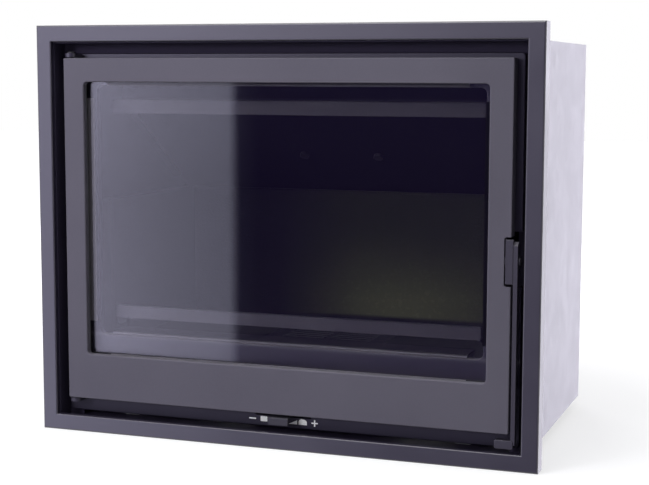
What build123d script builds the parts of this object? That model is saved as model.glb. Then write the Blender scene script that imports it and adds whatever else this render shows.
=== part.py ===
from build123d import *
import os
from math import cos, radians, sin

# Fireplace insert, millimetres, Z up.
# The origin is the centre of the casing's underside. The door faces -Y and is hung on its left side.
# Depths are counted backwards from the trim's front face, heights from the casing's underside.

# ---- casing and trim ------------------------------------------------------------------------------
CASING_WIDTH = 660.0
CASING_HEIGHT = 524.0
CASING_DEPTH = 386.0
CASING_SHEET = 1.5
CASING_FLANGE = 10.0            # folded edges of the casing panels
CASING_SETBACK = 20.0           # casing's front edges behind the trim's face

TRIM_OVERHANG_SIDE = 20.0       # trim beyond the casing
TRIM_OVERHANG_TOP = 21.0
TRIM_OVERHANG_BOTTOM = 14.0
TRIM_BAND = 22.0                # visible face width
TRIM_DEPTH = 25.0               # outer return
TRIM_LIP = 8.0                  # inner return
TRIM_SHEET = 2.5
TRIM_OUTER_RADIUS = 2.4
TRIM_INNER_RADIUS = 1.8

CLIP_WIDTH = 30.0
CLIP_SHEET = 1.5
CLIP_HEAD = 6.0
CLIP_COUNT_SIDE = 3

VENT_LENGTH = 60.0              # convection slots in the casing's top and back
VENT_WIDTH = 8.0
VENT_PITCH = 20.0
VENT_ROWS = 6
BACK_VENT_COUNT = 7
BACK_VENT_HEIGHT = 60.0

# ---- door -----------------------------------------------------------------------------------------
DOOR_GAP_SIDE = 17.0            # door to trim opening
DOOR_GAP_TOP = 22.0
DOOR_GAP_BOTTOM = 24.5
DOOR_SETBACK = 4.0              # door's face behind the trim's face
DOOR_THICKNESS = 20.0
DOOR_STILE = 30.0
DOOR_TOP_RAIL = 32.0
DOOR_BOTTOM_RAIL = 62.5
DOOR_CORNER = 2.0
DOOR_EDGE = 1.2
WINDOW_CORNER = 5.5
WINDOW_EDGE = 1.6

GLASS_THICKNESS = 4.0
GLASS_OVERLAP = 6.5             # glass hidden behind the frame
GLASS_SETBACK = 11.0            # glass behind the door's face
GLASS_CORNER = 4.0
GASKET_THICKNESS = 2.5
POCKET_CLEARANCE = 0.5
RETAINER_LEDGE = 5.0            # ledge round the glass that carries the retainer strips
RETAINER_SHEET = 1.5
RETAINER_SHOW_SIDE = 8.0        # strip seen through the glass, from the window's edge
RETAINER_SHOW_TOP = 4.5
RETAINER_LENGTH = 504.0
RETAINER_SIDE_LOW = 45.0        # side strips, above the window's lower edge
RETAINER_SIDE_LENGTH = 307.0

ROPE_WIDTH = 6.0
ROPE_GROOVE_DEPTH = 6.0
ROPE_LAND = 1.5                 # wall between the retainer pocket and the rope
ROPE_CORNER = 8.0
SEAL_CLEARANCE = 0.3

# ---- front frame and firebox ----------------------------------------------------------------------
SEAL_GAP = 3.0                  # door's back to the front frame
FRAME_THICKNESS = 10.0
FRAME_GAP_SIDE = 8.0            # front frame to trim opening
FRAME_GAP_TOP = 15.5
FRAME_GAP_BOTTOM = 2.0
FRAME_CORNER = 5.0
MOUTH_INSET_SIDE = 9.0          # mouth inside the window outline
MOUTH_INSET_TOP = 5.0
MOUTH_INSET_BOTTOM = 26.0
MOUTH_CORNER = 8.0
MOUTH_EDGE = 1.5
RIB_WIDTH = 3.0                 # knife edge that presses on the rope
RIB_HEIGHT = 1.0
SURROUND_OVERLAP = 14.0

WALL = 5.0                      # firebox plate
FLOOR_HEIGHT = 72.0             # underside of the firebox floor
TOP_GAP = 35.5                  # firebox top to casing
REAR_GAP = 28.5                 # firebox back to casing
LINING = 25.0
BACK_LINING = 28.0
LINING_HEIGHT = 202.0
LINING_CLEARANCE = 0.3
LINING_EDGE = 3.0
LINING_SETBACK = 29.0           # linings behind the front frame
HEARTH_SETBACK = 23.0

FLUE_RADIUS = 75.5              # socket for a 150 mm pipe
FLUE_WALL = 3.0
FLUE_STEP = 5.0                 # stop for the pipe, in the firebox top
FLUE_PROJECTION = 20.0          # above the casing
FLUE_FLANGE = 18.0
FLUE_FLANGE_THICKNESS = 4.0
FLUE_SETBACK = 230.0            # flue axis behind the trim's face
FLUE_BEAD = 2.0
CASING_FLUE_CLEARANCE = 11.5
BOLT_COUNT = 4
BOLT_TURN = 45.0
BOLT_RADIUS = 3.0
BOLT_HEAD_RADIUS = 5.5
BOLT_HEAD = 4.0

# ---- inside the firebox ---------------------------------------------------------------------------
BAFFLE_ANGLE = 33.7
BAFFLE_RUN = 178.0              # horizontal reach of the sloping plate
BAFFLE_SHEET = 5.0
BAFFLE_LIP = 14.0
BAFFLE_CLEARANCE = 7.0
BAFFLE_SEAT = 11.0              # lower edge on the back lining, behind the lining's face
RAIL_WIDTH = 12.0
RAIL_THICKNESS = 5.0
BAFFLE_BOLT_SPACING = 114.0
BAFFLE_BOLT_UP = 107.0          # bolts up the slope
BAFFLE_BOLT_RADIUS = 4.0
BAFFLE_BOLT_HEAD_RADIUS = 7.5
BAFFLE_BOLT_HEAD = 5.0

AIRWASH_SHEET = 2.5
AIRWASH_SETBACK = 21.0          # behind the front frame
AIRWASH_LENGTH = 530.0
AIRWASH_DROP = 19.0             # height of the visible front bar
AIRWASH_SHELF = 32.0
AIRWASH_DUCT = 37.0             # shelf to the firebox top
AIRWASH_FLANGE = 14.0

SILL_LENGTH = 504.0
SILL_THICKNESS = 5.0
SILL_EDGE = 2.2
SILL_NOSE = 1.0                 # nose ahead of the front frame
SILL_LEG_SETBACK = 29.0         # back of the sill's leg behind the front frame

RETAINER_BAR_LENGTH = 524.0     # log retainer
RETAINER_BAR_HEIGHT = 17.0
RETAINER_BAR_THICKNESS = 7.0
RETAINER_BAR_CORNER = 2.0
RETAINER_BAR_LIFT = 14.0        # above the sill
RETAINER_BAR_SETBACK = 19.0     # behind the front frame
ARM_WIDTH = 8.0
ARM_HEIGHT = 11.0
ARM_LENGTH = 30.0
ARM_INSET = 4.0
PEG_RADIUS = 3.5
PEG_LENGTH = 8.0
PEG_CLEARANCE = 0.5
SHELF_SHEET = 2.5
SHELF_LENGTH = 22.0
SHELF_LEG = 14.0
SHELF_MARGIN = 4.0              # shelf beyond the peg's hole
REST_CLEARANCE = 0.3

GRATE_LENGTH = 180.0
GRATE_WIDTH = 150.0
GRATE_TOP = 9.0
GRATE_SKIRT = 6.0
GRATE_LEDGE = 8.0
GRATE_CLEARANCE = 1.0
GRATE_CORNER = 6.0
GRATE_SLOT_LENGTH = 64.0
GRATE_SLOT_WIDTH = 7.0
GRATE_SLOT_PITCH = 14.0
GRATE_SLOT_COUNT = 9
GRATE_SETBACK = 200.0           # grate's middle behind the trim's face

ASH_BOX_SHEET = 2.0
ASH_BOX_LAP = 4.0               # outer wall beyond the floor's ash opening
ASH_PORT_LENGTH = 120.0         # air port in the ash box's front wall
ASH_PORT_HEIGHT = 26.0
ASH_PORT_LIFT = 34.0
ASH_BOX_HEIGHT = 14.0           # underside of the ash box
ASH_PAN_CLEARANCE = 3.0
ASH_PAN_SHEET = 1.5
ASH_PAN_DEPTH = 50.0
ASH_PAN_RIM = 3.0
ASH_PAN_CORNER = 8.0

# ---- air control ----------------------------------------------------------------------------------
AIR_TRAVEL = 25.0               # each way from the middle
SLIDER_SHEET = 3.0
SLIDER_HEIGHT = 25.5            # underside of the slider plate
SLIDER_TAB_WIDTH = 28.0
SLIDER_TAB_HEIGHT = 11.0
SLIDER_TAB_SETBACK = 7.0        # tab's face behind the trim's face
SLIDER_BEND = 3.5
SHUTTER_LENGTH = 210.0
SHUTTER_WIDTH = 50.0
SHUTTER_SETBACK = 15.0          # behind the front frame
SLIDE_CLEARANCE = 0.3
SLOT_CLEARANCE = 1.0
PORT_LENGTH = 40.0
PORT_WIDTH = 30.0
PORT_PITCH = 90.0
AIR_BOX_SHEET = 2.0
AIR_BOX_MARGIN = 10.0           # air box wall beyond the ports
GUIDE_SHEET = 2.0
GUIDE_FOOT = 6.0

# ---- hinge and latch ------------------------------------------------------------------------------
HINGE_INSET = 7.0               # hinge axis from the door's left edge
HINGE_PIN_RADIUS = 4.0
HINGE_PIN_ENGAGEMENT = 16.0
HINGE_BORE_EXTRA = 2.0
HINGE_HEAD_RADIUS = 5.5
HINGE_HEAD = 2.2
HINGE_HEAD_EDGE = 1.0
RUNNING_CLEARANCE = 0.05
LUG_THICKNESS = 5.0
LUG_TIP = 1.5                   # lug's thickness at the end of its flare
LUG_RADIUS = 8.5
LUG_GAP = 1.5                   # upper lug to the door
LUG_FLARE = 13.0                # lug's root beyond the axis
LUG_SHOULDER = 35.0             # where the flare leaves the eye, degrees
WASHER_GAP = 0.3
WASHER_RADIUS = 8.0
WASHER_THICKNESS = 1.2

LATCH_HEIGHT = 250.0            # lever's pivot
LATCH_PIN_RADIUS = 3.0
LATCH_PIN_SEAT = 7.0
LATCH_PIN_HEAD = 2.0
LATCH_PIN_HEAD_RADIUS = 5.5
NOTCH_DEPTH = 9.0
NOTCH_HEIGHT = 62.0
NOTCH_CORNER = 3.0
HUB_RADIUS = 9.0
HUB_PLATE_HEIGHT = 56.0
HUB_PLATE_THICKNESS = 5.0
HUB_PLATE_GAP = 1.5
LEVER_GAP = 2.6                 # lever to the door's edge
LEVER_WIDTH = 5.4
LEVER_THICKNESS = 10.0
LEVER_TOP = 25.0                # above the pivot
LEVER_SLOPE = 5.0               # slope on the shank's upper end
LEVER_STEP = 0.8                # shank behind the hub plate and the tab
LEVER_EDGE = 0.8
TAB_GAP = 8.0                   # door's lower edge to the finger tab
TAB_LENGTH = 24.0
TAB_END = 2.0                   # tab's end inside the shank's outer face
TAB_HEIGHT = 11.0
TAB_CORNER = 2.0
HOOK_WIDTH = 7.0
HUB_WALL = 1.0                  # round the pivot pin, in front of the hook
HOOK_ARM_LOW = -6.0             # hook's heights from the pivot
HOOK_ARM_HIGH = 2.0
HOOK_TIP_HIGH = 11.0
HOOK_FINGER = 5.7
KEEPER_RADIUS = 3.5
KEEPER_SETBACK = 5.0            # keeper's axis behind the front frame's face
KEEPER_CLEARANCE = 0.8
KEEPER_SEAT = 4.0
KEEPER_COLLAR_RADIUS = 5.0
KEEPER_COLLAR = 1.5
POCKET_STEP = 1.0               # pocket's floor inside the notch's floor
POCKET_LOW = 34.0               # pocket below and above the pivot
POCKET_HIGH = 36.0
POCKET_CORNER = 3.0

# ---- supports -------------------------------------------------------------------------------------
SUPPORT_SHEET = 2.0
SUPPORT_FOOT = 20.0
SUPPORT_SPACING = 460.0
SUPPORT_LENGTH = 300.0
SPACER_WIDTH = 40.0
SPACER_HEIGHT = 120.0
SPACER_SPACING = 360.0
SPACER_FOOT = 12.0

CUT = 5.0                       # cuts run this far past the faces

# ---- worked out -----------------------------------------------------------------------------------
FACE_Y = -(CASING_DEPTH / 2 + CASING_SETBACK)
CASING_FRONT_Y = -CASING_DEPTH / 2
CASING_BACK_Y = CASING_DEPTH / 2
CASING_X = CASING_WIDTH / 2

TRIM_X = CASING_X + TRIM_OVERHANG_SIDE
TRIM_LOW = -TRIM_OVERHANG_BOTTOM
TRIM_HIGH = CASING_HEIGHT + TRIM_OVERHANG_TOP
OPENING_X = TRIM_X - TRIM_BAND
OPENING_LOW = TRIM_LOW + TRIM_BAND
OPENING_HIGH = TRIM_HIGH - TRIM_BAND

DOOR_X = OPENING_X - DOOR_GAP_SIDE
DOOR_LOW = OPENING_LOW + DOOR_GAP_BOTTOM
DOOR_HIGH = OPENING_HIGH - DOOR_GAP_TOP
DOOR_FRONT_Y = FACE_Y + DOOR_SETBACK
DOOR_BACK_Y = DOOR_FRONT_Y + DOOR_THICKNESS
WINDOW_X = DOOR_X - DOOR_STILE
WINDOW_LOW = DOOR_LOW + DOOR_BOTTOM_RAIL
WINDOW_HIGH = DOOR_HIGH - DOOR_TOP_RAIL

GLASS_Y = DOOR_FRONT_Y + GLASS_SETBACK
GLASS_BACK_Y = GLASS_Y + GLASS_THICKNESS
POCKET_OUT = GLASS_OVERLAP + POCKET_CLEARANCE
LEDGE_OUT = POCKET_OUT + RETAINER_LEDGE
ROPE_IN = LEDGE_OUT + ROPE_LAND
ROPE_OUT = ROPE_IN + ROPE_WIDTH

FRAME_X = OPENING_X - FRAME_GAP_SIDE
FRAME_LOW = OPENING_LOW + FRAME_GAP_BOTTOM
FRAME_HIGH = OPENING_HIGH - FRAME_GAP_TOP
FRAME_Y = DOOR_BACK_Y + SEAL_GAP
FRAME_BACK_Y = FRAME_Y + FRAME_THICKNESS
MOUTH_X = WINDOW_X - MOUTH_INSET_SIDE
MOUTH_LOW = WINDOW_LOW + MOUTH_INSET_BOTTOM
MOUTH_HIGH = WINDOW_HIGH - MOUTH_INSET_TOP

LINING_X = MOUTH_X
WALL_X = LINING_X + LINING
FIREBOX_BACK_Y = CASING_BACK_Y - CASING_SHEET - REAR_GAP
CHAMBER_BACK_Y = FIREBOX_BACK_Y - WALL
BACK_LINING_Y = CHAMBER_BACK_Y - BACK_LINING
LINING_FRONT_Y = FRAME_BACK_Y + LINING_SETBACK
HEARTH_FRONT_Y = FRAME_BACK_Y + HEARTH_SETBACK
FLOOR_TOP = FLOOR_HEIGHT + WALL
HEARTH_TOP = FLOOR_TOP + LINING
LINING_TOP = HEARTH_TOP + LINING_HEIGHT
FIREBOX_HIGH = CASING_HEIGHT - CASING_SHEET - TOP_GAP
CHAMBER_HIGH = FIREBOX_HIGH - WALL

FLUE_Y = FACE_Y + FLUE_SETBACK
GRATE_Y = FACE_Y + GRATE_SETBACK
HINGE_X = -DOOR_X + HINGE_INSET
PIVOT_Y = (DOOR_FRONT_Y + DOOR_BACK_Y) / 2
NOTCH_X = DOOR_X - NOTCH_DEPTH
LEVER_X = DOOR_X + LEVER_GAP
LEVER_OUT_X = LEVER_X + LEVER_WIDTH
KEEPER_Y = FRAME_Y + KEEPER_SETBACK
HUB_PLATE_X = NOTCH_X + HUB_PLATE_GAP
HOOK_X = (HUB_PLATE_X + LEVER_X) / 2
HOOK_OUT_X = HOOK_X + HOOK_WIDTH / 2
POCKET_X = NOTCH_X - POCKET_STEP
SILL_TOP = MOUTH_LOW + SILL_THICKNESS
SLIDER_TOP = SLIDER_HEIGHT + SLIDER_SHEET
SHUTTER_Y = FRAME_BACK_Y + SHUTTER_SETBACK
PORT_Y = SHUTTER_Y + SHUTTER_WIDTH / 2


# ---- drawing helpers ------------------------------------------------------------------------------
def block(x, y, z):
    """A straight-sided solid between a low and a high limit on each axis."""
    middle = [(low + high) / 2 for low, high in (x, y, z)]
    size = [high - low for low, high in (x, y, z)]
    return Pos(*middle) * Box(*size)


def rectangle(x, z, radius=0.0):
    """An outline between limits, with rounded corners where a radius is given."""
    width, height = x[1] - x[0], z[1] - z[0]
    shape = RectangleRounded(width, height, radius) if radius else Rectangle(width, height)
    return Pos((x[0] + x[1]) / 2, (z[0] + z[1]) / 2) * shape


def from_front(outline, y_low, y_high):
    """Extrude an outline drawn in X and Z between two depths."""
    return extrude(Plane.XZ.offset(-y_low) * outline, amount=y_low - y_high)


def from_side(outline, x_low, x_high):
    """Extrude an outline drawn in Y and Z between two positions across the width."""
    return extrude(Plane.YZ.offset(x_low) * outline, amount=x_high - x_low)


def from_above(outline, z_low, z_high):
    """Extrude an outline drawn in X and Y between two heights."""
    return extrude(Plane.XY.offset(z_low) * outline, amount=z_high - z_low)


def folded(points, sheet, side=Side.LEFT, bend=0.0):
    """The section of a folded sheet that lies on one side of the line through the points."""
    line = FilletPolyline(*points, radius=bend) if bend else Polyline(*points)
    return make_face(offset(line, amount=sheet, side=side, closed=True, kind=Kind.INTERSECTION))


def ring(outer, inner, y_low, y_high):
    """A flat ring between two front-view outlines."""
    return from_front(outer - inner, y_low, y_high)


def window_outline(grow, radius):
    """The door's window outline grown outwards by a margin."""
    x = WINDOW_X + grow
    return rectangle((-x, x), (WINDOW_LOW - grow, WINDOW_HIGH + grow), radius)


def upright(radius, x, y, z_low, z_high):
    """A cylinder along Z."""
    return Pos(x, y, (z_low + z_high) / 2) * Cylinder(radius, z_high - z_low)


def crosswise(radius, x_low, x_high, y, z):
    """A cylinder along X."""
    return Pos((x_low + x_high) / 2, y, z) * Rot(Y=90) * Cylinder(radius, x_high - x_low)


def repeated(outline, x_pitch, y_pitch, columns, rows, middle=(0, 0)):
    """One sketch holding a grid of copies of an outline round a middle point."""
    grid = Pos(*middle) * GridLocations(x_pitch, y_pitch, columns, rows)
    return Sketch() + [place * outline for place in grid]


def edges_at(part, axis, value):
    """Edges that lie wholly in the plane where the axis has the value."""
    return part.edges().filter_by_position(axis, value, value)


def both_sides(part):
    """A piece and its mirror image on the other side of the middle."""
    return [part, mirror(part, about=Plane.YZ)]


# ---- casing and trim ------------------------------------------------------------------------------
def make_trim_frame():
    """Folded picture frame: face, deep outer return and short inner lip."""
    outer = rectangle((-TRIM_X, TRIM_X), (TRIM_LOW, TRIM_HIGH))
    opening = rectangle((-OPENING_X, OPENING_X), (OPENING_LOW, OPENING_HIGH))
    inside_x = TRIM_X - TRIM_SHEET
    inside = rectangle((-inside_x, inside_x), (TRIM_LOW + TRIM_SHEET, TRIM_HIGH - TRIM_SHEET))
    lip_x = OPENING_X + TRIM_SHEET
    lip = rectangle((-lip_x, lip_x), (OPENING_LOW - TRIM_SHEET, OPENING_HIGH + TRIM_SHEET))
    frame = ring(outer, opening, FACE_Y, FACE_Y + TRIM_SHEET)
    frame += ring(outer, inside, FACE_Y, FACE_Y + TRIM_DEPTH)
    frame += ring(lip, opening, FACE_Y, FACE_Y + TRIM_LIP)
    front = edges_at(frame, Axis.Y, FACE_Y)
    outline = front.filter_by(lambda edge: abs(edge.center().X) > OPENING_X + TRIM_SHEET
                              or edge.center().Z > OPENING_HIGH + TRIM_SHEET
                              or edge.center().Z < OPENING_LOW - TRIM_SHEET)
    frame = fillet(outline, TRIM_OUTER_RADIUS)
    inner = edges_at(frame, Axis.Y, FACE_Y).filter_by(
        lambda edge: abs(edge.center().X) < OPENING_X + TRIM_SHEET
        and OPENING_LOW - TRIM_SHEET < edge.center().Z < OPENING_HIGH + TRIM_SHEET)
    return fillet(inner, TRIM_INNER_RADIUS)


def make_trim_clips():
    """Z clips between the casing's front flanges and the back of the trim's face, on both sides."""
    flange_y = CASING_FRONT_Y
    face_y = FACE_Y + TRIM_SHEET
    foot_x = CASING_X + CASING_FLANGE
    section = folded([(CASING_X, flange_y), (foot_x, flange_y), (foot_x, face_y),
                      (foot_x - CLIP_HEAD, face_y)], CLIP_SHEET, Side.RIGHT)
    pitch = CASING_HEIGHT / CLIP_COUNT_SIDE
    clips = []
    for step in range(CLIP_COUNT_SIDE):
        middle = pitch * (step + 0.5)
        clips += both_sides(from_above(section, middle - CLIP_WIDTH / 2, middle + CLIP_WIDTH / 2))
    return clips


def make_casing_right():
    """Side panel with its front edge folded outwards and its back edge inwards."""
    back = CASING_BACK_Y - CASING_SHEET
    section = folded([(CASING_X + CASING_FLANGE, CASING_FRONT_Y + CASING_SHEET),
                      (CASING_X, CASING_FRONT_Y + CASING_SHEET), (CASING_X, back),
                      (CASING_X - CASING_FLANGE, back)], CASING_SHEET)
    return from_above(section, 0, CASING_HEIGHT)


def casing_tray(high):
    """Section of the top panel: front edge folded up, back edge folded down."""
    back = CASING_BACK_Y - CASING_SHEET
    return folded([(CASING_FRONT_Y, high + CASING_FLANGE), (CASING_FRONT_Y, high - CASING_SHEET),
                   (back - CASING_SHEET, high - CASING_SHEET),
                   (back - CASING_SHEET, high - CASING_FLANGE)], CASING_SHEET)


def make_casing_top():
    """Top panel with the flue hole and two fields of convection slots."""
    inside = CASING_X - CASING_SHEET
    corner = CASING_X - CASING_FLANGE - CASING_SHEET
    back = CASING_BACK_Y - CASING_SHEET
    panel = from_side(casing_tray(CASING_HEIGHT), -inside, inside)
    for side in (-1, 1):
        notch = sorted((side * corner, side * CASING_X))
        panel -= block(notch, (back - CASING_SHEET, back), (0, 2 * CASING_HEIGHT))
    panel -= upright(FLUE_RADIUS + FLUE_WALL + CASING_FLUE_CLEARANCE, 0, FLUE_Y, 0,
                     2 * CASING_HEIGHT)
    slots = repeated(SlotOverall(2 * VENT_LENGTH, VENT_WIDTH), 2 * (FLUE_RADIUS + 2 * VENT_LENGTH),
                     VENT_PITCH, 2, VENT_ROWS, (0, FLUE_Y))
    return panel - from_above(slots, CASING_HEIGHT - CASING_FLANGE, CASING_HEIGHT + CASING_FLANGE)


def make_casing_base():
    """Bottom panel, the top panel's fold without its holes, turned over."""
    inside = CASING_X - CASING_SHEET
    corner = CASING_X - CASING_FLANGE - CASING_SHEET
    back = CASING_BACK_Y - CASING_SHEET
    panel = from_side(mirror(casing_tray(0), about=Plane.XZ), -inside, inside)
    for side in (-1, 1):
        notch = sorted((side * corner, side * CASING_X))
        panel -= block(notch, (back - CASING_SHEET, back), (-CASING_FLANGE, 2 * CASING_FLANGE))
    return panel


def make_casing_back():
    """Back panel with a row of cooling slots near its foot."""
    outline = rectangle((-CASING_X, CASING_X), (0, CASING_HEIGHT))
    outline -= repeated(SlotOverall(VENT_LENGTH, VENT_WIDTH), VENT_LENGTH + VENT_PITCH, VENT_PITCH,
                        BACK_VENT_COUNT, 2, (0, BACK_VENT_HEIGHT))
    return from_front(outline, CASING_BACK_Y - CASING_SHEET, CASING_BACK_Y)


def make_front_surround():
    """Folded tray round the front frame: a plate behind it and flanges that reach to the trim's lip."""
    x = CASING_X - CASING_SHEET
    high = CASING_HEIGHT - CASING_SHEET
    inner_x = FRAME_X - SURROUND_OVERLAP
    outer = rectangle((-x, x), (CASING_SHEET, high))
    inner = rectangle((-inner_x, inner_x), (-CASING_HEIGHT, FRAME_HIGH - SURROUND_OVERLAP))
    pocket = rectangle((0, HOOK_OUT_X + HUB_WALL),
                       (LATCH_HEIGHT - POCKET_LOW, LATCH_HEIGHT + POCKET_HIGH))
    plate = from_front(outer - inner - pocket, FRAME_BACK_Y, FRAME_BACK_Y + CASING_SHEET)
    inside_x = x - CASING_SHEET
    inside = rectangle((-inside_x, inside_x), (-CASING_HEIGHT, high - CASING_SHEET))
    return plate + from_front(outer - inside, FACE_Y + TRIM_LIP + SLIDE_CLEARANCE, FRAME_BACK_Y)


# ---- front frame ----------------------------------------------------------------------------------
def make_front_frame():
    """Cast frame: mouth, sealing rib, slider slot and the open pocket for the latch."""
    outer = rectangle((-FRAME_X, FRAME_X), (FRAME_LOW, FRAME_HIGH), FRAME_CORNER)
    mouth = rectangle((-MOUTH_X, MOUTH_X), (MOUTH_LOW, MOUTH_HIGH), MOUTH_CORNER)
    pocket = rectangle((POCKET_X, 2 * FRAME_X),
                       (LATCH_HEIGHT - POCKET_LOW, LATCH_HEIGHT + POCKET_HIGH), POCKET_CORNER)
    slot_x = SLIDER_TAB_WIDTH / 2 + AIR_TRAVEL + SLOT_CLEARANCE
    slot = rectangle((-slot_x, slot_x),
                     (SLIDER_HEIGHT - SLOT_CLEARANCE, SLIDER_TOP + SLOT_CLEARANCE))
    frame = from_front(outer - mouth, FRAME_Y, FRAME_BACK_Y)
    front = edges_at(frame, Axis.Y, FRAME_Y)
    frame = fillet(front, MOUTH_EDGE)
    frame -= from_front(pocket, FRAME_Y - CUT, FRAME_BACK_Y + CUT)
    frame -= from_front(slot, FRAME_Y - CUT, FRAME_BACK_Y + CUT)
    frame -= keeper_pin(RUNNING_CLEARANCE)
    middle = (ROPE_IN + ROPE_OUT) / 2
    rib = ring(window_outline(middle + RIB_WIDTH / 2, ROPE_CORNER + RIB_WIDTH),
               window_outline(middle - RIB_WIDTH / 2, ROPE_CORNER), FRAME_Y - RIB_HEIGHT, FRAME_Y)
    return frame + rib


def keeper_pin(extra=0.0):
    """The keeper's shank, or its bore in the frame when it is made larger."""
    return crosswise(KEEPER_RADIUS + extra, POCKET_X - KEEPER_SEAT, HOOK_OUT_X + HUB_WALL / 2,
                     KEEPER_Y, keeper_height())


def keeper_height():
    """Height of the keeper's axis, just above the hook's arm."""
    return LATCH_HEIGHT + HOOK_ARM_HIGH + SLIDE_CLEARANCE + KEEPER_RADIUS


def make_latch_keeper():
    """Pin that stands out of the pocket's floor, with a collar at its root."""
    collar = crosswise(KEEPER_COLLAR_RADIUS, POCKET_X, POCKET_X + KEEPER_COLLAR, KEEPER_Y,
                       keeper_height())
    return keeper_pin() + collar


# ---- firebox --------------------------------------------------------------------------------------
def make_firebox_right_wall():
    """Welded side plate."""
    return block((WALL_X, WALL_X + WALL), (FRAME_BACK_Y, FIREBOX_BACK_Y), (FLOOR_TOP, CHAMBER_HIGH))


def make_firebox_back_wall():
    """Welded back plate between the side plates."""
    return block((-WALL_X, WALL_X), (CHAMBER_BACK_Y, FIREBOX_BACK_Y), (FLOOR_TOP, CHAMBER_HIGH))


def grate_opening(margin):
    """Plan outline round the grate, grown or shrunk by a margin."""
    x = GRATE_LENGTH / 2 + margin
    y = GRATE_WIDTH / 2 + margin
    return rectangle((-x, x), (GRATE_Y - y, GRATE_Y + y))


def make_firebox_floor():
    """Floor plate with the ash opening."""
    x = WALL_X + WALL
    plate = rectangle((-x, x), (FRAME_BACK_Y, FIREBOX_BACK_Y)) - grate_opening(-GRATE_LEDGE)
    return from_above(plate, FLOOR_HEIGHT, FLOOR_TOP)


def make_firebox_top():
    """Top plate, its hole stepped in so that the flue pipe has a stop."""
    x = WALL_X + WALL
    plate = rectangle((-x, x), (FRAME_BACK_Y, FIREBOX_BACK_Y))
    plate -= Pos(0, FLUE_Y) * Circle(FLUE_RADIUS - FLUE_STEP)
    top = from_above(plate, CHAMBER_HIGH, FIREBOX_HIGH)
    for x, y in bolt_places():
        top -= upright(BOLT_RADIUS + RUNNING_CLEARANCE, x, y, CHAMBER_HIGH, FIREBOX_HIGH)
    return top


def bolt_places():
    """Centres of the bolts that hold the flue collar."""
    radius = FLUE_RADIUS + FLUE_WALL + FLUE_FLANGE / 2
    for step in range(BOLT_COUNT):
        turn = radians(BOLT_TURN + 360 / BOLT_COUNT * step)
        yield radius * cos(turn), FLUE_Y + radius * sin(turn)


def make_flue_collar():
    """Turned socket: flange, tube and a stiffening bead at the mouth."""
    top = CASING_HEIGHT + FLUE_PROJECTION
    outer = FLUE_RADIUS + FLUE_WALL
    flange = outer + FLUE_FLANGE
    section = Polyline((FLUE_RADIUS, FIREBOX_HIGH), (flange, FIREBOX_HIGH),
                       (flange, FIREBOX_HIGH + FLUE_FLANGE_THICKNESS),
                       (outer, FIREBOX_HIGH + FLUE_FLANGE_THICKNESS),
                       (outer, top - 2 * FLUE_BEAD), (outer + FLUE_BEAD, top - FLUE_BEAD),
                       (outer, top), (FLUE_RADIUS, top), close=True)
    collar = Pos(0, FLUE_Y, 0) * revolve(Plane.XZ * make_face(section), Axis.Z)
    for x, y in bolt_places():
        collar -= upright(BOLT_RADIUS + RUNNING_CLEARANCE, x, y, FIREBOX_HIGH,
                          FIREBOX_HIGH + 2 * FLUE_FLANGE_THICKNESS)
    return collar


def make_collar_bolts():
    """Hexagon bolts through the collar's flange and the firebox top."""
    seat = FIREBOX_HIGH + FLUE_FLANGE_THICKNESS
    bolts = []
    for x, y in bolt_places():
        head = from_above(Pos(x, y) * RegularPolygon(BOLT_HEAD_RADIUS, 6), seat, seat + BOLT_HEAD)
        bolts.append(head + upright(BOLT_RADIUS, x, y, CHAMBER_HIGH - BOLT_HEAD, seat))
    return bolts


# ---- linings --------------------------------------------------------------------------------------
def make_base_lining():
    """Hearth slabs round the grate: one each side, one in front and one behind."""
    x = WALL_X - LINING_CLEARANCE
    front, back = HEARTH_FRONT_Y, CHAMBER_BACK_Y - LINING_CLEARANCE
    hole_x = GRATE_LENGTH / 2 + GRATE_CLEARANCE
    hole_y = GRATE_WIDTH / 2 + GRATE_CLEARANCE
    height = (FLOOR_TOP, HEARTH_TOP)
    sides = both_sides(block((hole_x, x), (front, back), height))
    return sides + [block((-hole_x, hole_x), (front, GRATE_Y - hole_y), height),
                    block((-hole_x, hole_x), (GRATE_Y + hole_y, back), height)]


def make_back_lining():
    """Slab in front of the back plate, its upper front edge eased."""
    x = WALL_X - LINING_CLEARANCE
    slab = block((-x, x), (BACK_LINING_Y, CHAMBER_BACK_Y - LINING_CLEARANCE), (HEARTH_TOP, LINING_TOP))
    front = edges_at(slab, Axis.Y, BACK_LINING_Y)
    return chamfer(front.filter_by_position(Axis.Z, LINING_TOP, LINING_TOP), LINING_EDGE)


def make_right_lining():
    """Side slab, its front edge eased."""
    slab = block((LINING_X, WALL_X - LINING_CLEARANCE),
                 (LINING_FRONT_Y, BACK_LINING_Y - LINING_CLEARANCE), (HEARTH_TOP, LINING_TOP))
    front = edges_at(slab, Axis.Y, LINING_FRONT_Y)
    return chamfer(front.filter_by_position(Axis.X, LINING_X, LINING_X), LINING_EDGE)


# ---- baffle and air wash --------------------------------------------------------------------------
def on_slope(part):
    """Lay a piece that was drawn level, running forwards from its lower edge, on the baffle's slope."""
    return Pos(0, BACK_LINING_Y + BAFFLE_SEAT, LINING_TOP) * Rot(X=-BAFFLE_ANGLE) * part


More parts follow.
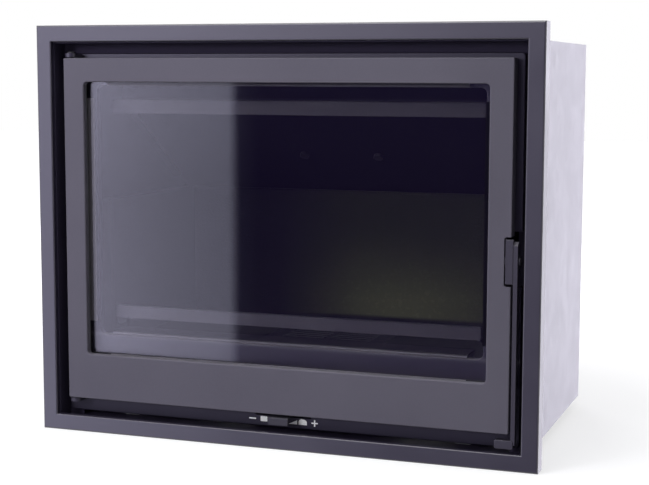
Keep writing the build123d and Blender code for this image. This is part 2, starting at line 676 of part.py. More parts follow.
def make_baffle():
    """Sloping flame plate with an upright lip along its front."""
    x = WALL_X - BAFFLE_CLEARANCE
    length = BAFFLE_RUN / cos(radians(BAFFLE_ANGLE))
    lip = radians(90 - BAFFLE_ANGLE)
    section = folded([(-length - BAFFLE_LIP * cos(lip), BAFFLE_LIP * sin(lip)), (-length, 0), (0, 0)],
                     BAFFLE_SHEET)
    plate = from_side(section, -x, x)
    for side in (-1, 1):
        plate -= upright(BAFFLE_BOLT_RADIUS + RUNNING_CLEARANCE, side * BAFFLE_BOLT_SPACING / 2,
                         -BAFFLE_BOLT_UP, -BAFFLE_SHEET, 2 * BAFFLE_SHEET)
    return on_slope(plate)


def make_baffle_bolts():
    """Bolts through the baffle, heads below and nuts above."""
    bolts = []
    hexagon = RegularPolygon(BAFFLE_BOLT_HEAD_RADIUS, 6)
    for side in (-1, 1):
        x = side * BAFFLE_BOLT_SPACING / 2
        bolt = upright(BAFFLE_BOLT_RADIUS, x, -BAFFLE_BOLT_UP, 0, BAFFLE_SHEET)
        bolt += from_above(Pos(x, -BAFFLE_BOLT_UP) * hexagon, -BAFFLE_BOLT_HEAD, 0)
        bolt += from_above(Pos(x, -BAFFLE_BOLT_UP) * hexagon, BAFFLE_SHEET,
                           BAFFLE_SHEET + BAFFLE_BOLT_HEAD)
        bolts.append(on_slope(bolt))
    return bolts


def make_baffle_rails():
    """Bars welded to the side plates under the baffle's edges."""
    length = BAFFLE_RUN / cos(radians(BAFFLE_ANGLE))
    start = -(BAFFLE_SEAT + BACK_LINING)
    bar = block((WALL_X - RAIL_WIDTH, WALL_X), (-length, start), (-RAIL_THICKNESS, 0))
    return both_sides(on_slope(bar))


def make_airwash_deflector():
    """Folded channel behind the glass: front bar, shelf, back wall and a flange under the top."""
    front = FRAME_BACK_Y + AIRWASH_SETBACK
    shelf = CHAMBER_HIGH - AIRWASH_DUCT
    back = front + AIRWASH_SHELF
    section = folded([(front, shelf - AIRWASH_DROP), (front, shelf), (back - AIRWASH_SHEET, shelf),
                      (back - AIRWASH_SHEET, CHAMBER_HIGH), (back + AIRWASH_FLANGE, CHAMBER_HIGH)],
                     AIRWASH_SHEET, Side.RIGHT)
    return from_side(section, -AIRWASH_LENGTH / 2, AIRWASH_LENGTH / 2)


# ---- hearth pieces --------------------------------------------------------------------------------
def make_sill_plate():
    """Hearth sill: rounded nose over the mouth's lower edge and a leg down to the hearth."""
    nose = FRAME_Y - SILL_NOSE
    back = FRAME_BACK_Y + SILL_LEG_SETBACK
    x = SILL_LENGTH / 2
    plate = block((-x, x), (nose, back), (MOUTH_LOW, SILL_TOP))
    plate += block((-x, x), (back - SILL_THICKNESS, back), (HEARTH_TOP, SILL_TOP))
    return fillet(edges_at(plate, Axis.Y, nose).filter_by(Axis.X), SILL_EDGE)


def retainer_span():
    """Depth limits and height of the log retainer's bar."""
    front = FRAME_BACK_Y + RETAINER_BAR_SETBACK
    return front, front + RETAINER_BAR_THICKNESS, SILL_TOP + RETAINER_BAR_LIFT


def peg_place():
    """Place of the log retainer's right peg, in plan."""
    back = retainer_span()[1]
    x = RETAINER_BAR_LENGTH / 2 - ARM_INSET - ARM_WIDTH / 2
    return x, back + ARM_LENGTH - ARM_WIDTH / 2


def shelf_top():
    """Upper face of the shelves that the log retainer's arms lie on."""
    return retainer_span()[2] - REST_CLEARANCE


def make_log_retainer():
    """Bar with rounded ends and two arms whose pegs drop into the side shelves."""
    front, back, low = retainer_span()
    half = RETAINER_BAR_LENGTH / 2
    outline = rectangle((-half, half), (low, low + RETAINER_BAR_HEIGHT), RETAINER_BAR_CORNER)
    bar = from_front(outline, front, back)
    peg_x, peg_y = peg_place()
    arm = block((peg_x - ARM_WIDTH / 2, peg_x + ARM_WIDTH / 2), (back, back + ARM_LENGTH),
                (low, low + ARM_HEIGHT))
    arm += upright(PEG_RADIUS, peg_x, peg_y, low - PEG_LENGTH, low)
    for piece in both_sides(arm):
        bar += piece
    return bar


def make_log_retainer_shelves():
    """Angle shelves on the side linings, each with a hole for a peg."""
    peg_x, peg_y = peg_place()
    top = shelf_top()
    inner = peg_x - PEG_RADIUS - PEG_CLEARANCE - SHELF_MARGIN
    section = folded([(inner, top), (LINING_X, top), (LINING_X, top - SHELF_LEG)], SHELF_SHEET,
                     Side.RIGHT)
    shelf = from_front(section, peg_y - SHELF_LENGTH / 2, peg_y + SHELF_LENGTH / 2)
    shelf -= upright(PEG_RADIUS + PEG_CLEARANCE, peg_x, peg_y, top - SHELF_LEG, top + CUT)
    return both_sides(shelf)


def make_grate():
    """Cast grate: slotted top on a skirt that stands on the firebox floor."""
    inset = GRATE_SKIRT
    outline = RectangleRounded(GRATE_LENGTH, GRATE_WIDTH, GRATE_CORNER)
    inside = Rectangle(GRATE_LENGTH - 2 * inset, GRATE_WIDTH - 2 * inset)
    skirt = from_above(outline - inside, FLOOR_TOP, HEARTH_TOP)
    slots = repeated(SlotOverall(GRATE_SLOT_LENGTH, GRATE_SLOT_WIDTH),
                     GRATE_SLOT_LENGTH + GRATE_SLOT_PITCH - GRATE_SLOT_WIDTH, GRATE_SLOT_PITCH,
                     2, GRATE_SLOT_COUNT)
    top = from_above(outline - slots, HEARTH_TOP - GRATE_TOP, HEARTH_TOP)
    return Pos(0, GRATE_Y, 0) * (skirt + top)


def make_ash_box():
    """Open-topped box welded under the floor's ash opening, with an air port in front."""
    margin = ASH_BOX_LAP - GRATE_LEDGE
    box = from_above(grate_opening(margin), ASH_BOX_HEIGHT, FLOOR_HEIGHT)
    box -= from_above(grate_opening(margin - ASH_BOX_SHEET), ASH_BOX_HEIGHT + ASH_BOX_SHEET,
                      FLOOR_HEIGHT)
    port = rectangle((-ASH_PORT_LENGTH / 2, ASH_PORT_LENGTH / 2),
                     (ASH_PORT_LIFT, ASH_PORT_LIFT + ASH_PORT_HEIGHT))
    return box - from_front(port, ash_box_front() - CUT, ash_box_front() + CUT)


def ash_box_front():
    """Outer face of the ash box's front wall."""
    return GRATE_Y - GRATE_WIDTH / 2 + GRATE_LEDGE - ASH_BOX_LAP


def make_ash_pan():
    """Pressed pan with rounded corners and a turned-out rim, lifted out through the ash opening."""
    low = ASH_BOX_HEIGHT + ASH_BOX_SHEET
    rim_x = GRATE_LENGTH - 2 * GRATE_LEDGE - 2 * ASH_PAN_CLEARANCE
    rim_y = GRATE_WIDTH - 2 * GRATE_LEDGE - 2 * ASH_PAN_CLEARANCE
    outer_x, outer_y = rim_x - 2 * ASH_PAN_RIM, rim_y - 2 * ASH_PAN_RIM
    inner_x, inner_y = outer_x - 2 * ASH_PAN_SHEET, outer_y - 2 * ASH_PAN_SHEET
    high = low + ASH_PAN_DEPTH
    rim = RectangleRounded(rim_x, rim_y, ASH_PAN_CORNER + ASH_PAN_RIM)
    wall = RectangleRounded(outer_x, outer_y, ASH_PAN_CORNER)
    hollow = RectangleRounded(inner_x, inner_y, ASH_PAN_CORNER - ASH_PAN_SHEET)
    pan = from_above(wall, low, high) + from_above(rim, high - ASH_PAN_SHEET, high)
    pan -= from_above(hollow, low + ASH_PAN_SHEET, high)
    return Pos(0, GRATE_Y, 0) * pan


# ---- air control ----------------------------------------------------------------------------------
def ports(shift):
    """Plan outline of the two air ports, moved along X."""
    return repeated(Rectangle(PORT_LENGTH, PORT_WIDTH), PORT_PITCH, PORT_PITCH, 2, 1, (shift, PORT_Y))


def make_air_slider():
    """One folded sheet: shutter with two ports, tongue and the finger tab in front."""
    half = SLIDER_TAB_WIDTH / 2
    front = FACE_Y + SLIDER_TAB_SETBACK
    section = folded([(front, SLIDER_TOP - SLIDER_TAB_HEIGHT), (front, SLIDER_TOP),
                      (SHUTTER_Y + SLIDER_SHEET, SLIDER_TOP)], SLIDER_SHEET, Side.RIGHT, SLIDER_BEND)
    tongue = from_side(section, -half, half)
    x = SHUTTER_LENGTH / 2
    plate = rectangle((-x, x), (SHUTTER_Y, SHUTTER_Y + SHUTTER_WIDTH)) - ports(-AIR_TRAVEL)
    return tongue + from_above(plate, SLIDER_HEIGHT, SLIDER_TOP)


def make_air_box():
    """Duct under the firebox floor, from the fixed ports over the shutter to the ash box."""
    low = SLIDER_TOP + SLIDE_CLEARANCE
    x = PORT_PITCH / 2 + PORT_LENGTH / 2 + AIR_BOX_MARGIN
    front, back = SHUTTER_Y - SLIDE_CLEARANCE - GUIDE_SHEET, ash_box_front()
    outline = rectangle((-x, x), (front, back))
    inside = rectangle((AIR_BOX_SHEET - x, x - AIR_BOX_SHEET), (front + AIR_BOX_SHEET, back))
    wall = from_above(outline - inside, low, FLOOR_HEIGHT)
    return wall + from_above(outline - ports(0), low, low + AIR_BOX_SHEET)


def make_air_guides():
    """Angle strips that carry the shutter: one behind it and two short ones in front."""
    top = SLIDER_TOP + SLIDE_CLEARANCE
    foot = SLIDER_HEIGHT - SLIDE_CLEARANCE - GUIDE_SHEET
    inner = SLIDER_TAB_WIDTH / 2 + AIR_TRAVEL + SLOT_CLEARANCE
    outer = PORT_PITCH / 2 + PORT_LENGTH / 2 + AIR_BOX_MARGIN
    back = SHUTTER_Y + SHUTTER_WIDTH + SLIDE_CLEARANCE
    front = SHUTTER_Y - SLIDE_CLEARANCE
    rear = folded([(back - GUIDE_FOOT, foot), (back + GUIDE_SHEET, foot), (back + GUIDE_SHEET, top)],
                  GUIDE_SHEET)
    lead = folded([(front + GUIDE_FOOT, foot), (front - GUIDE_SHEET, foot), (front - GUIDE_SHEET, top)],
                  GUIDE_SHEET, Side.RIGHT)
    return [from_side(rear, -outer, outer)] + both_sides(from_side(lead, inner, outer))


# ---- hinge ----------------------------------------------------------------------------------------
def lug(seat, way):
    """Welded hinge lug: rounded round the pin, flared and thinned towards the front frame.

    It stands up (way 1) or down (way -1) from its face next to the door.
    """
    far, tip = seat + way * LUG_THICKNESS, seat + way * LUG_TIP
    end = HINGE_X + LUG_FLARE
    eye = Pos(HINGE_X, PIVOT_Y) * Circle(LUG_RADIUS)
    shoulder = (HINGE_X + LUG_RADIUS * cos(radians(LUG_SHOULDER)),
                PIVOT_Y - LUG_RADIUS * sin(radians(LUG_SHOULDER)))
    root = make_face(Polyline((HINGE_X - LUG_RADIUS, PIVOT_Y), (HINGE_X - LUG_RADIUS, FRAME_Y),
                              (end, FRAME_Y), shoulder, (HINGE_X, PIVOT_Y), close=True))
    hole = Pos(HINGE_X, PIVOT_Y) * Circle(HINGE_PIN_RADIUS + RUNNING_CLEARANCE)
    wedge = make_face(Polyline((shoulder[0], far), (end, tip), (end, far), close=True))
    return from_above(eye + root - hole, min(seat, far), max(seat, far)) - from_front(wedge, FACE_Y, FRAME_Y)


def upper_seat():
    """Underside of the upper lug."""
    return DOOR_HIGH + LUG_GAP


def lower_seat():
    """Top of the lower lug, under the thrust washer."""
    return DOOR_LOW - WASHER_GAP - WASHER_THICKNESS


def make_hinge_pins():
    """Headed pin dropped in from above, and a plain pin set in the lower lug."""
    upper = upper_seat() + LUG_THICKNESS
    head = upright(HINGE_HEAD_RADIUS, HINGE_X, PIVOT_Y, upper, upper + HINGE_HEAD)
    head = fillet(edges_at(head, Axis.Z, upper + HINGE_HEAD), HINGE_HEAD_EDGE)
    top = head + upright(HINGE_PIN_RADIUS, HINGE_X, PIVOT_Y, DOOR_HIGH - HINGE_PIN_ENGAGEMENT, upper)
    base = upright(HINGE_PIN_RADIUS, HINGE_X, PIVOT_Y, lower_seat() - LUG_THICKNESS,
                   DOOR_LOW + HINGE_PIN_ENGAGEMENT)
    return [top, base]


def make_hinge_washer():
    """Thrust washer that the door turns on."""
    low = lower_seat()
    ring_outline = Circle(WASHER_RADIUS) - Circle(HINGE_PIN_RADIUS + RUNNING_CLEARANCE)
    return from_above(Pos(HINGE_X, PIVOT_Y) * ring_outline, low, low + WASHER_THICKNESS)


# ---- door -----------------------------------------------------------------------------------------
def make_door_frame():
    """Cast door frame: window, glass pocket, rope groove, lever notch and hinge bores."""
    outer = rectangle((-DOOR_X, DOOR_X), (DOOR_LOW, DOOR_HIGH), DOOR_CORNER)
    frame = from_front(outer - window_outline(0, WINDOW_CORNER), DOOR_FRONT_Y, DOOR_BACK_Y)
    front = edges_at(frame, Axis.Y, DOOR_FRONT_Y)
    inner = front.filter_by(lambda edge: abs(edge.center().X) < WINDOW_X + DOOR_STILE / 2
                            and WINDOW_LOW - DOOR_STILE / 2 < edge.center().Z < WINDOW_HIGH + DOOR_STILE / 2)
    frame = fillet(inner, WINDOW_EDGE)
    front = edges_at(frame, Axis.Y, DOOR_FRONT_Y)
    rim = front.filter_by(lambda edge: abs(edge.center().X) > WINDOW_X + DOOR_STILE / 2
                          or edge.center().Z > WINDOW_HIGH + DOOR_STILE / 2
                          or edge.center().Z < WINDOW_LOW - DOOR_STILE / 2)
    frame = fillet(rim, DOOR_EDGE)
    heel = edges_at(frame, Axis.Y, DOOR_BACK_Y).filter_by_position(Axis.X, -DOOR_X, -DOOR_X)
    frame = fillet(heel, DOOR_CORNER)
    frame -= from_front(window_outline(POCKET_OUT, GLASS_CORNER), GLASS_Y - GASKET_THICKNESS, DOOR_BACK_Y)
    frame -= from_front(window_outline(LEDGE_OUT, GLASS_CORNER), GLASS_BACK_Y, DOOR_BACK_Y)
    frame -= ring(window_outline(ROPE_OUT, ROPE_CORNER + ROPE_WIDTH), window_outline(ROPE_IN, ROPE_CORNER),
                  DOOR_BACK_Y - ROPE_GROOVE_DEPTH, DOOR_BACK_Y)
    notch = rectangle((NOTCH_X, NOTCH_X + 2 * DOOR_STILE),
                      (LATCH_HEIGHT - NOTCH_HEIGHT / 2, LATCH_HEIGHT + NOTCH_HEIGHT / 2), NOTCH_CORNER)
    frame -= from_front(notch, DOOR_FRONT_Y - CUT, DOOR_BACK_Y + CUT)
    frame -= crosswise(LATCH_PIN_RADIUS + RUNNING_CLEARANCE, NOTCH_X - LATCH_PIN_SEAT, NOTCH_X,
                       PIVOT_Y, LATCH_HEIGHT)
    depth = HINGE_PIN_ENGAGEMENT + HINGE_BORE_EXTRA
    bore = HINGE_PIN_RADIUS + RUNNING_CLEARANCE
    frame -= upright(bore, HINGE_X, PIVOT_Y, DOOR_HIGH - depth, DOOR_HIGH)
    return frame - upright(bore, HINGE_X, PIVOT_Y, DOOR_LOW, DOOR_LOW + depth)


def make_door_glass():
    """Ceramic glass pane."""
    return from_front(window_outline(GLASS_OVERLAP, GLASS_CORNER), GLASS_Y, GLASS_BACK_Y)


def make_glass_gasket():
    """Flat tape between the frame's shoulder and the glass."""
    return ring(window_outline(GLASS_OVERLAP, GLASS_CORNER), window_outline(0, WINDOW_CORNER),
                GLASS_Y - GASKET_THICKNESS, GLASS_Y)


def make_door_seal():
    """Rope seal pressed in the door's groove."""
    return ring(window_outline(ROPE_OUT, ROPE_CORNER + ROPE_WIDTH), window_outline(ROPE_IN, ROPE_CORNER),
                DOOR_BACK_Y - ROPE_GROOVE_DEPTH, FRAME_Y - RIB_HEIGHT - SEAL_CLEARANCE)


def make_glass_retainers():
    """Flat steel strips that clamp the glass: top, bottom and both sides."""
    y = (GLASS_BACK_Y, GLASS_BACK_Y + RETAINER_SHEET)
    half = RETAINER_LENGTH / 2
    reach = LEDGE_OUT - POCKET_CLEARANCE
    top = block((-half, half), y, (WINDOW_HIGH - RETAINER_SHOW_TOP, WINDOW_HIGH + reach))
    base = block((-half, half), y, (WINDOW_LOW - reach, WINDOW_LOW))
    low = WINDOW_LOW + RETAINER_SIDE_LOW
    side = block((WINDOW_X - RETAINER_SHOW_SIDE, WINDOW_X + reach), y, (low, low + RETAINER_SIDE_LENGTH))
    return [top, base] + both_sides(side)


# ---- latch ----------------------------------------------------------------------------------------
def make_handle_lever():
    """Lever beside the door's edge: hub plate in the notch, long shank and a finger tab under the door."""
    front, back = DOOR_FRONT_Y, DOOR_FRONT_Y + LEVER_THICKNESS
    face = front + LEVER_STEP
    low = DOOR_LOW - TAB_GAP - TAB_HEIGHT
    foot, top = low + TAB_HEIGHT / 2, LATCH_HEIGHT + LEVER_TOP
    outline = Polyline((face, foot), (back, foot), (back, top), (face + LEVER_SLOPE, top),
                       (face, top - LEVER_SLOPE), close=True)
    lever = from_side(make_face(outline), LEVER_X, LEVER_OUT_X)
    tab_x = LEVER_OUT_X - TAB_END
    tab = rectangle((tab_x - TAB_LENGTH, tab_x), (low, low + TAB_HEIGHT), TAB_CORNER)
    tab = from_front(tab, front, back)
    lever += fillet(edges_at(tab, Axis.Y, front), LEVER_EDGE)
    plate = block((HUB_PLATE_X, LEVER_X), (front, front + HUB_PLATE_THICKNESS),
                  (LATCH_HEIGHT - HUB_PLATE_HEIGHT / 2, LATCH_HEIGHT + HUB_PLATE_HEIGHT / 2))
    lever += chamfer(edges_at(plate, Axis.Y, front), LEVER_EDGE)
    lever += crosswise(HUB_RADIUS, NOTCH_X + SLIDE_CLEARANCE, LEVER_OUT_X, PIVOT_Y, LATCH_HEIGHT)
    lever -= hook_slot()
    bore = LATCH_PIN_RADIUS + RUNNING_CLEARANCE
    return lever - crosswise(bore, NOTCH_X, LEVER_OUT_X, PIVOT_Y, LATCH_HEIGHT)


def hook_slot():
    """Slot in the hub that the latch hook is set in."""
    half = HOOK_WIDTH / 2
    return block((HOOK_X - half, HOOK_X + half), (hook_root(), PIVOT_Y + HUB_RADIUS),
                 (LATCH_HEIGHT - HUB_RADIUS, LATCH_HEIGHT + HUB_RADIUS))


def hook_root():
    """Depth at which the hook starts, behind the pivot pin."""
    return PIVOT_Y + LATCH_PIN_RADIUS + HUB_WALL


def make_latch_hook():
    """Hook behind the hub whose finger stands up behind the keeper."""
    half = HOOK_WIDTH / 2
    root = hook_root()
    finger = KEEPER_Y + KEEPER_RADIUS + KEEPER_CLEARANCE
    back = finger + HOOK_FINGER
    low, high = LATCH_HEIGHT + HOOK_ARM_LOW, LATCH_HEIGHT + HOOK_ARM_HIGH
    tip = LATCH_HEIGHT + HOOK_TIP_HIGH
    outline = Polyline((root, low), (back, low), (back, tip - HOOK_FINGER / 2),
                       (back - HOOK_FINGER / 2, tip), (finger, tip), (finger, high), (root, high),
                       close=True)
    return from_side(make_face(outline), HOOK_X - half, HOOK_X + half)


def make_latch_pin():
    """Headed pivot pin, screwed into the door's stile."""
    head = LEVER_OUT_X + SLIDE_CLEARANCE
    pin = crosswise(LATCH_PIN_RADIUS, NOTCH_X - LATCH_PIN_SEAT, head, PIVOT_Y, LATCH_HEIGHT)
    return pin + crosswise(LATCH_PIN_HEAD_RADIUS, head, head + LATCH_PIN_HEAD, PIVOT_Y, LATCH_HEIGHT)


# ---- supports -------------------------------------------------------------------------------------
def make_support_rails():
    """Channels that carry the firebox floor on the casing's base."""
    low, high = CASING_SHEET, FLOOR_HEIGHT
    inner = SUPPORT_SPACING / 2
    section = folded([(inner + SUPPORT_FOOT, low), (inner, low), (inner, high),
                      (inner + SUPPORT_FOOT, high)], SUPPORT_SHEET, Side.RIGHT)
    middle = (FRAME_BACK_Y + FIREBOX_BACK_Y) / 2
    return both_sides(from_front(section, middle - SUPPORT_LENGTH / 2, middle + SUPPORT_LENGTH / 2))


def make_rear_spacers():
    """Hat sections between the firebox back and the casing back."""
    foot = CASING_BACK_Y - CASING_SHEET - SUPPORT_SHEET
    inner, outer = (SPACER_SPACING - SPACER_WIDTH) / 2, (SPACER_SPACING + SPACER_WIDTH) / 2
    section = folded([(inner - SPACER_FOOT, foot), (inner, foot), (inner, FIREBOX_BACK_Y),
                      (outer, FIREBOX_BACK_Y), (outer, foot), (outer + SPACER_FOOT, foot)],
                     SUPPORT_SHEET)
    middle = (FLOOR_TOP + CHAMBER_HIGH) / 2
    hat = from_above(section, middle - SPACER_HEIGHT / 2, middle + SPACER_HEIGHT / 2)
    return both_sides(hat)


def other_side(make):
    """The maker of a right-hand piece, used for the left-hand one."""
    return lambda: mirror(make(), about=Plane.YZ)


PIECES = {
    "trim_frame": make_trim_frame,
    "trim_clips": make_trim_clips,
    "casing_left": other_side(make_casing_right),
    "casing_right": make_casing_right,
    "casing_top": make_casing_top,
    "casing_base": make_casing_base,
    "casing_back": make_casing_back,
    "front_surround": make_front_surround,
    "front_frame": make_front_frame,
    "latch_keeper": make_latch_keeper,
    "firebox_left_wall": other_side(make_firebox_right_wall),
    "firebox_right_wall": make_firebox_right_wall,
    "firebox_back_wall": make_firebox_back_wall,
    "firebox_floor": make_firebox_floor,
    "firebox_top": make_firebox_top,
    "flue_collar": make_flue_collar,
    "collar_bolts": make_collar_bolts,
    "base_lining": make_base_lining,
    "back_lining": make_back_lining,
    "left_lining": other_side(make_right_lining),
    "right_lining": make_right_lining,
    "baffle": make_baffle,
    "baffle_bolts": make_baffle_bolts,
    "baffle_rails": make_baffle_rails,
    "airwash_deflector": make_airwash_deflector,
    "sill_plate": make_sill_plate,
    "log_retainer": make_log_retainer,
    "log_retainer_shelves": make_log_retainer_shelves,
    "grate": make_grate,
    "ash_box": make_ash_box,
    "ash_pan": make_ash_pan,
    "air_slider": make_air_slider,
    "air_box": make_air_box,
    "air_guides": make_air_guides,
    "hinge_lug_upper": lambda: lug(upper_seat(), 1),
    "hinge_lug_lower": lambda: lug(lower_seat(), -1),
    "hinge_pins": make_hinge_pins,
    "hinge_washer": make_hinge_washer,
    "door_frame": make_door_frame,
    "door_glass": make_door_glass,
    "glass_gasket": make_glass_gasket,
    "door_seal": make_door_seal,
    "glass_retainers": make_glass_retainers,
    "handle_lever": make_handle_lever,
    "latch_hook": make_latch_hook,
    "latch_pin": make_latch_pin,
    "support_rails": make_support_rails,
    "rear_spacers": make_rear_spacers,
}


def main():
    """Build every piece and write one file for each."""
    os.makedirs("parts", exist_ok=True)
    for name, make in PIECES.items():
        piece = make()
        solids = [s for item in (piece if isinstance(piece, list) else [piece]) for s in item.solids()]
        export_step(Compound(label=name, children=solids), os.path.join("parts", name + ".step"))
        print(name, len(solids), "solid(s)")


if __name__ == "__main__":
    main()
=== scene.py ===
"""Looks of the fireplace insert: finishes, the parts too fine for the solids, and the studio."""

import logging
from dataclasses import dataclass
from enum import Enum
from functools import cached_property
from itertools import product
from math import cos, pi, radians, sin
from typing import Iterable, Sequence

import bmesh
import bpy
from mathutils import Matrix, Vector


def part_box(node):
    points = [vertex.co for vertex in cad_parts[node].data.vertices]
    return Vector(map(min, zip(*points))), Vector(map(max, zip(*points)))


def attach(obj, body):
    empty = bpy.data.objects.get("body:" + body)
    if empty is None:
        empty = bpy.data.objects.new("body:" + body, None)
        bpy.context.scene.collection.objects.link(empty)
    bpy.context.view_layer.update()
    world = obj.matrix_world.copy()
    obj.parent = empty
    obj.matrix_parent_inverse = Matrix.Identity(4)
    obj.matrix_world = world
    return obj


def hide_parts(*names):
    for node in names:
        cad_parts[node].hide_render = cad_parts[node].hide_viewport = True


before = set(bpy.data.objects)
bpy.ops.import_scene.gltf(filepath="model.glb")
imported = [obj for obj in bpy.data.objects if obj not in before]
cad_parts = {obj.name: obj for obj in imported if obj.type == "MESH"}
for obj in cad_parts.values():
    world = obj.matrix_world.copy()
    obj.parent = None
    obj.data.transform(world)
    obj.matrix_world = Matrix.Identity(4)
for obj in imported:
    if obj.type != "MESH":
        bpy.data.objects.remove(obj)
LOG = logging.getLogger("insert")
Socket = bpy.types.NodeSocket
Colour = tuple[float, float, float]
Point = tuple[float, float, float]
Span = tuple[float, float]
Box = tuple[float, float, float, float]
Stops = tuple[tuple[float, Colour], ...]
Rows = tuple[tuple[float, ...], tuple[float, ...]]
SMOOTH_UNDER = 35.0  # faces that meet at less shade as one, degrees
WELD_DISTANCE = 1e-7  # vertices closer than this are one, metres
NOISE_RANGE = (0.3, 0.7)  # where most of a noise pattern's values lie


def srgb(red: float, green: float, blue: float) -> Colour:
    """Turn a screen colour into a linear one.

    Args:
        red: Red, 0 to 255.
        green: Green, 0 to 255.
        blue: Blue, 0 to 255.

    Returns:
        The linear colour.
    """
    def one(value: float) -> float:
        """Turn one channel into linear light."""
        share = value / 255
        return share / 12.92 if share <= 0.04045 else ((share + 0.055) / 1.055) ** 2.4

    return one(red), one(green), one(blue)


def scaled(colour: Colour, factor: float) -> Colour:
    """Make a colour lighter or darker."""
    return tuple(min(channel * factor, 1.0) for channel in colour)


# ---- Shader building ----
class Graph:
    """A node tree with short ways to add and join nodes."""

    column_width = 180

    def __init__(self, tree: bpy.types.NodeTree) -> None:
        """Keep the tree and count its columns."""
        self.tree = tree
        self.column = 0

    def add(self, kind: str, **settings: object) -> bpy.types.Node:
        """Add a node.

        Args:
            kind: The node's type name.
            **settings: Attributes to set on it.

        Returns:
            The new node.
        """
        node = self.tree.nodes.new(kind)
        node.location = (self.column * self.column_width, 0)
        self.column += 1
        for name, value in settings.items():
            setattr(node, name, value)
        return node

    def find(self, kind: str) -> bpy.types.Node:
        """Find the tree's own node of a type."""
        return next(node for node in self.tree.nodes if node.type == kind)

    def feed(self, socket: Socket, source: object) -> None:
        """Link a source socket, or set a plain value.

        Args:
            socket: The input to fill.
            source: An output socket, a number or a colour.
        """
        if isinstance(source, Socket):
            self.tree.links.new(source, socket)
        elif isinstance(source, tuple) and len(source) == 3 and socket.type == "RGBA":
            socket.default_value = (*source, 1.0)
        else:
            socket.default_value = source

    @cached_property
    def place(self) -> Socket:
        """Give the Object coordinates."""
        return self.add("ShaderNodeTexCoord").outputs["Object"]

    @cached_property
    def axes(self) -> tuple[Socket, ...]:
        """Separate the Object coordinates.

        Returns:
            Their x, y and z.
        """
        node = self.add("ShaderNodeSeparateXYZ")
        self.feed(node.inputs[0], self.place)
        return tuple(node.outputs)

    def math(self, operation: str, first: object, second: object = 0.0) -> Socket:
        """Add a maths node.

        Args:
            operation: The node's operation.
            first: First input.
            second: Second input.

        Returns:
            Its output.
        """
        node = self.add("ShaderNodeMath", operation=operation)
        self.feed(node.inputs[0], first)
        self.feed(node.inputs[1], second)
        return node.outputs[0]

    def times(self, first: object, second: object) -> Socket:
        """Multiply two values."""
        return self.math("MULTIPLY", first, second)

    def plus(self, first: object, second: object) -> Socket:
        """Add two values."""
        return self.math("ADD", first, second)

    def larger(self, first: object, second: object) -> Socket:
        """Give the larger of two values."""
        return self.math("MAXIMUM", first, second)

    def mix(self, share: object, first: object, second: object) -> Socket:
        """Blend two colours.

        Args:
            share: How much of the second.
            first: First colour.
            second: Second colour.

        Returns:
            The blended colour.
        """
        node = self.add("ShaderNodeMix", data_type="RGBA")
        self.feed(node.inputs[0], share)
        self.feed(node.inputs[6], first)
        self.feed(node.inputs[7], second)
        return node.outputs[2]

    def spread(self, value: object, low: float, high: float, to_low: float = 0.0,
               to_high: float = 1.0) -> Socket:
        """Map a value from one range to another, clamped.

        Args:
            value: The value.
            low: Start of the old range.
            high: End of the old range.
            to_low: Start of the new range.
            to_high: End of the new range.

        Returns:
            The mapped value.
        """
        node = self.add("ShaderNodeMapRange", clamp=True)
        for index, item in enumerate((value, low, high, to_low, to_high)):
            self.feed(node.inputs[index], item)
        return node.outputs[0]

    def direct(self, path: bpy.types.Node) -> Socket:
        """Give 1 to rays that met no matt surface, so what mirrors show never lights the firebox."""
        return self.spread(path.outputs["Diffuse Depth"], 0.0, 1.0, 1.0, 0.0)

    def noise(self, scale: float, detail: float, stretch: Point = (1.0, 1.0, 1.0)) -> Socket:
        """Add a noise pattern.

        Args:
            scale: Cells to the metre.
            detail: Octaves.
            stretch: Scale along each axis.

        Returns:
            The noise value.
        """
        mapping = self.add("ShaderNodeMapping")
        self.feed(mapping.inputs["Vector"], self.place)
        mapping.inputs["Scale"].default_value = stretch
        node = self.add("ShaderNodeTexNoise")
        self.feed(node.inputs["Vector"], mapping.outputs[0])
        node.inputs["Scale"].default_value = scale
        node.inputs["Detail"].default_value = detail
        return node.outputs["Fac"]

    def flakes(self, scale: float) -> tuple[Socket, ...]:
        """Cut the surface into cells, each with three chance values.

        Args:
            scale: Cells to the metre.

        Returns:
            The three values.
        """
        cells = self.add("ShaderNodeTexVoronoi")
        self.feed(cells.inputs["Vector"], self.place)
        cells.inputs["Scale"].default_value = scale
        node = self.add("ShaderNodeSeparateColor")
        self.feed(node.inputs[0], cells.outputs["Color"])
        return tuple(node.outputs)


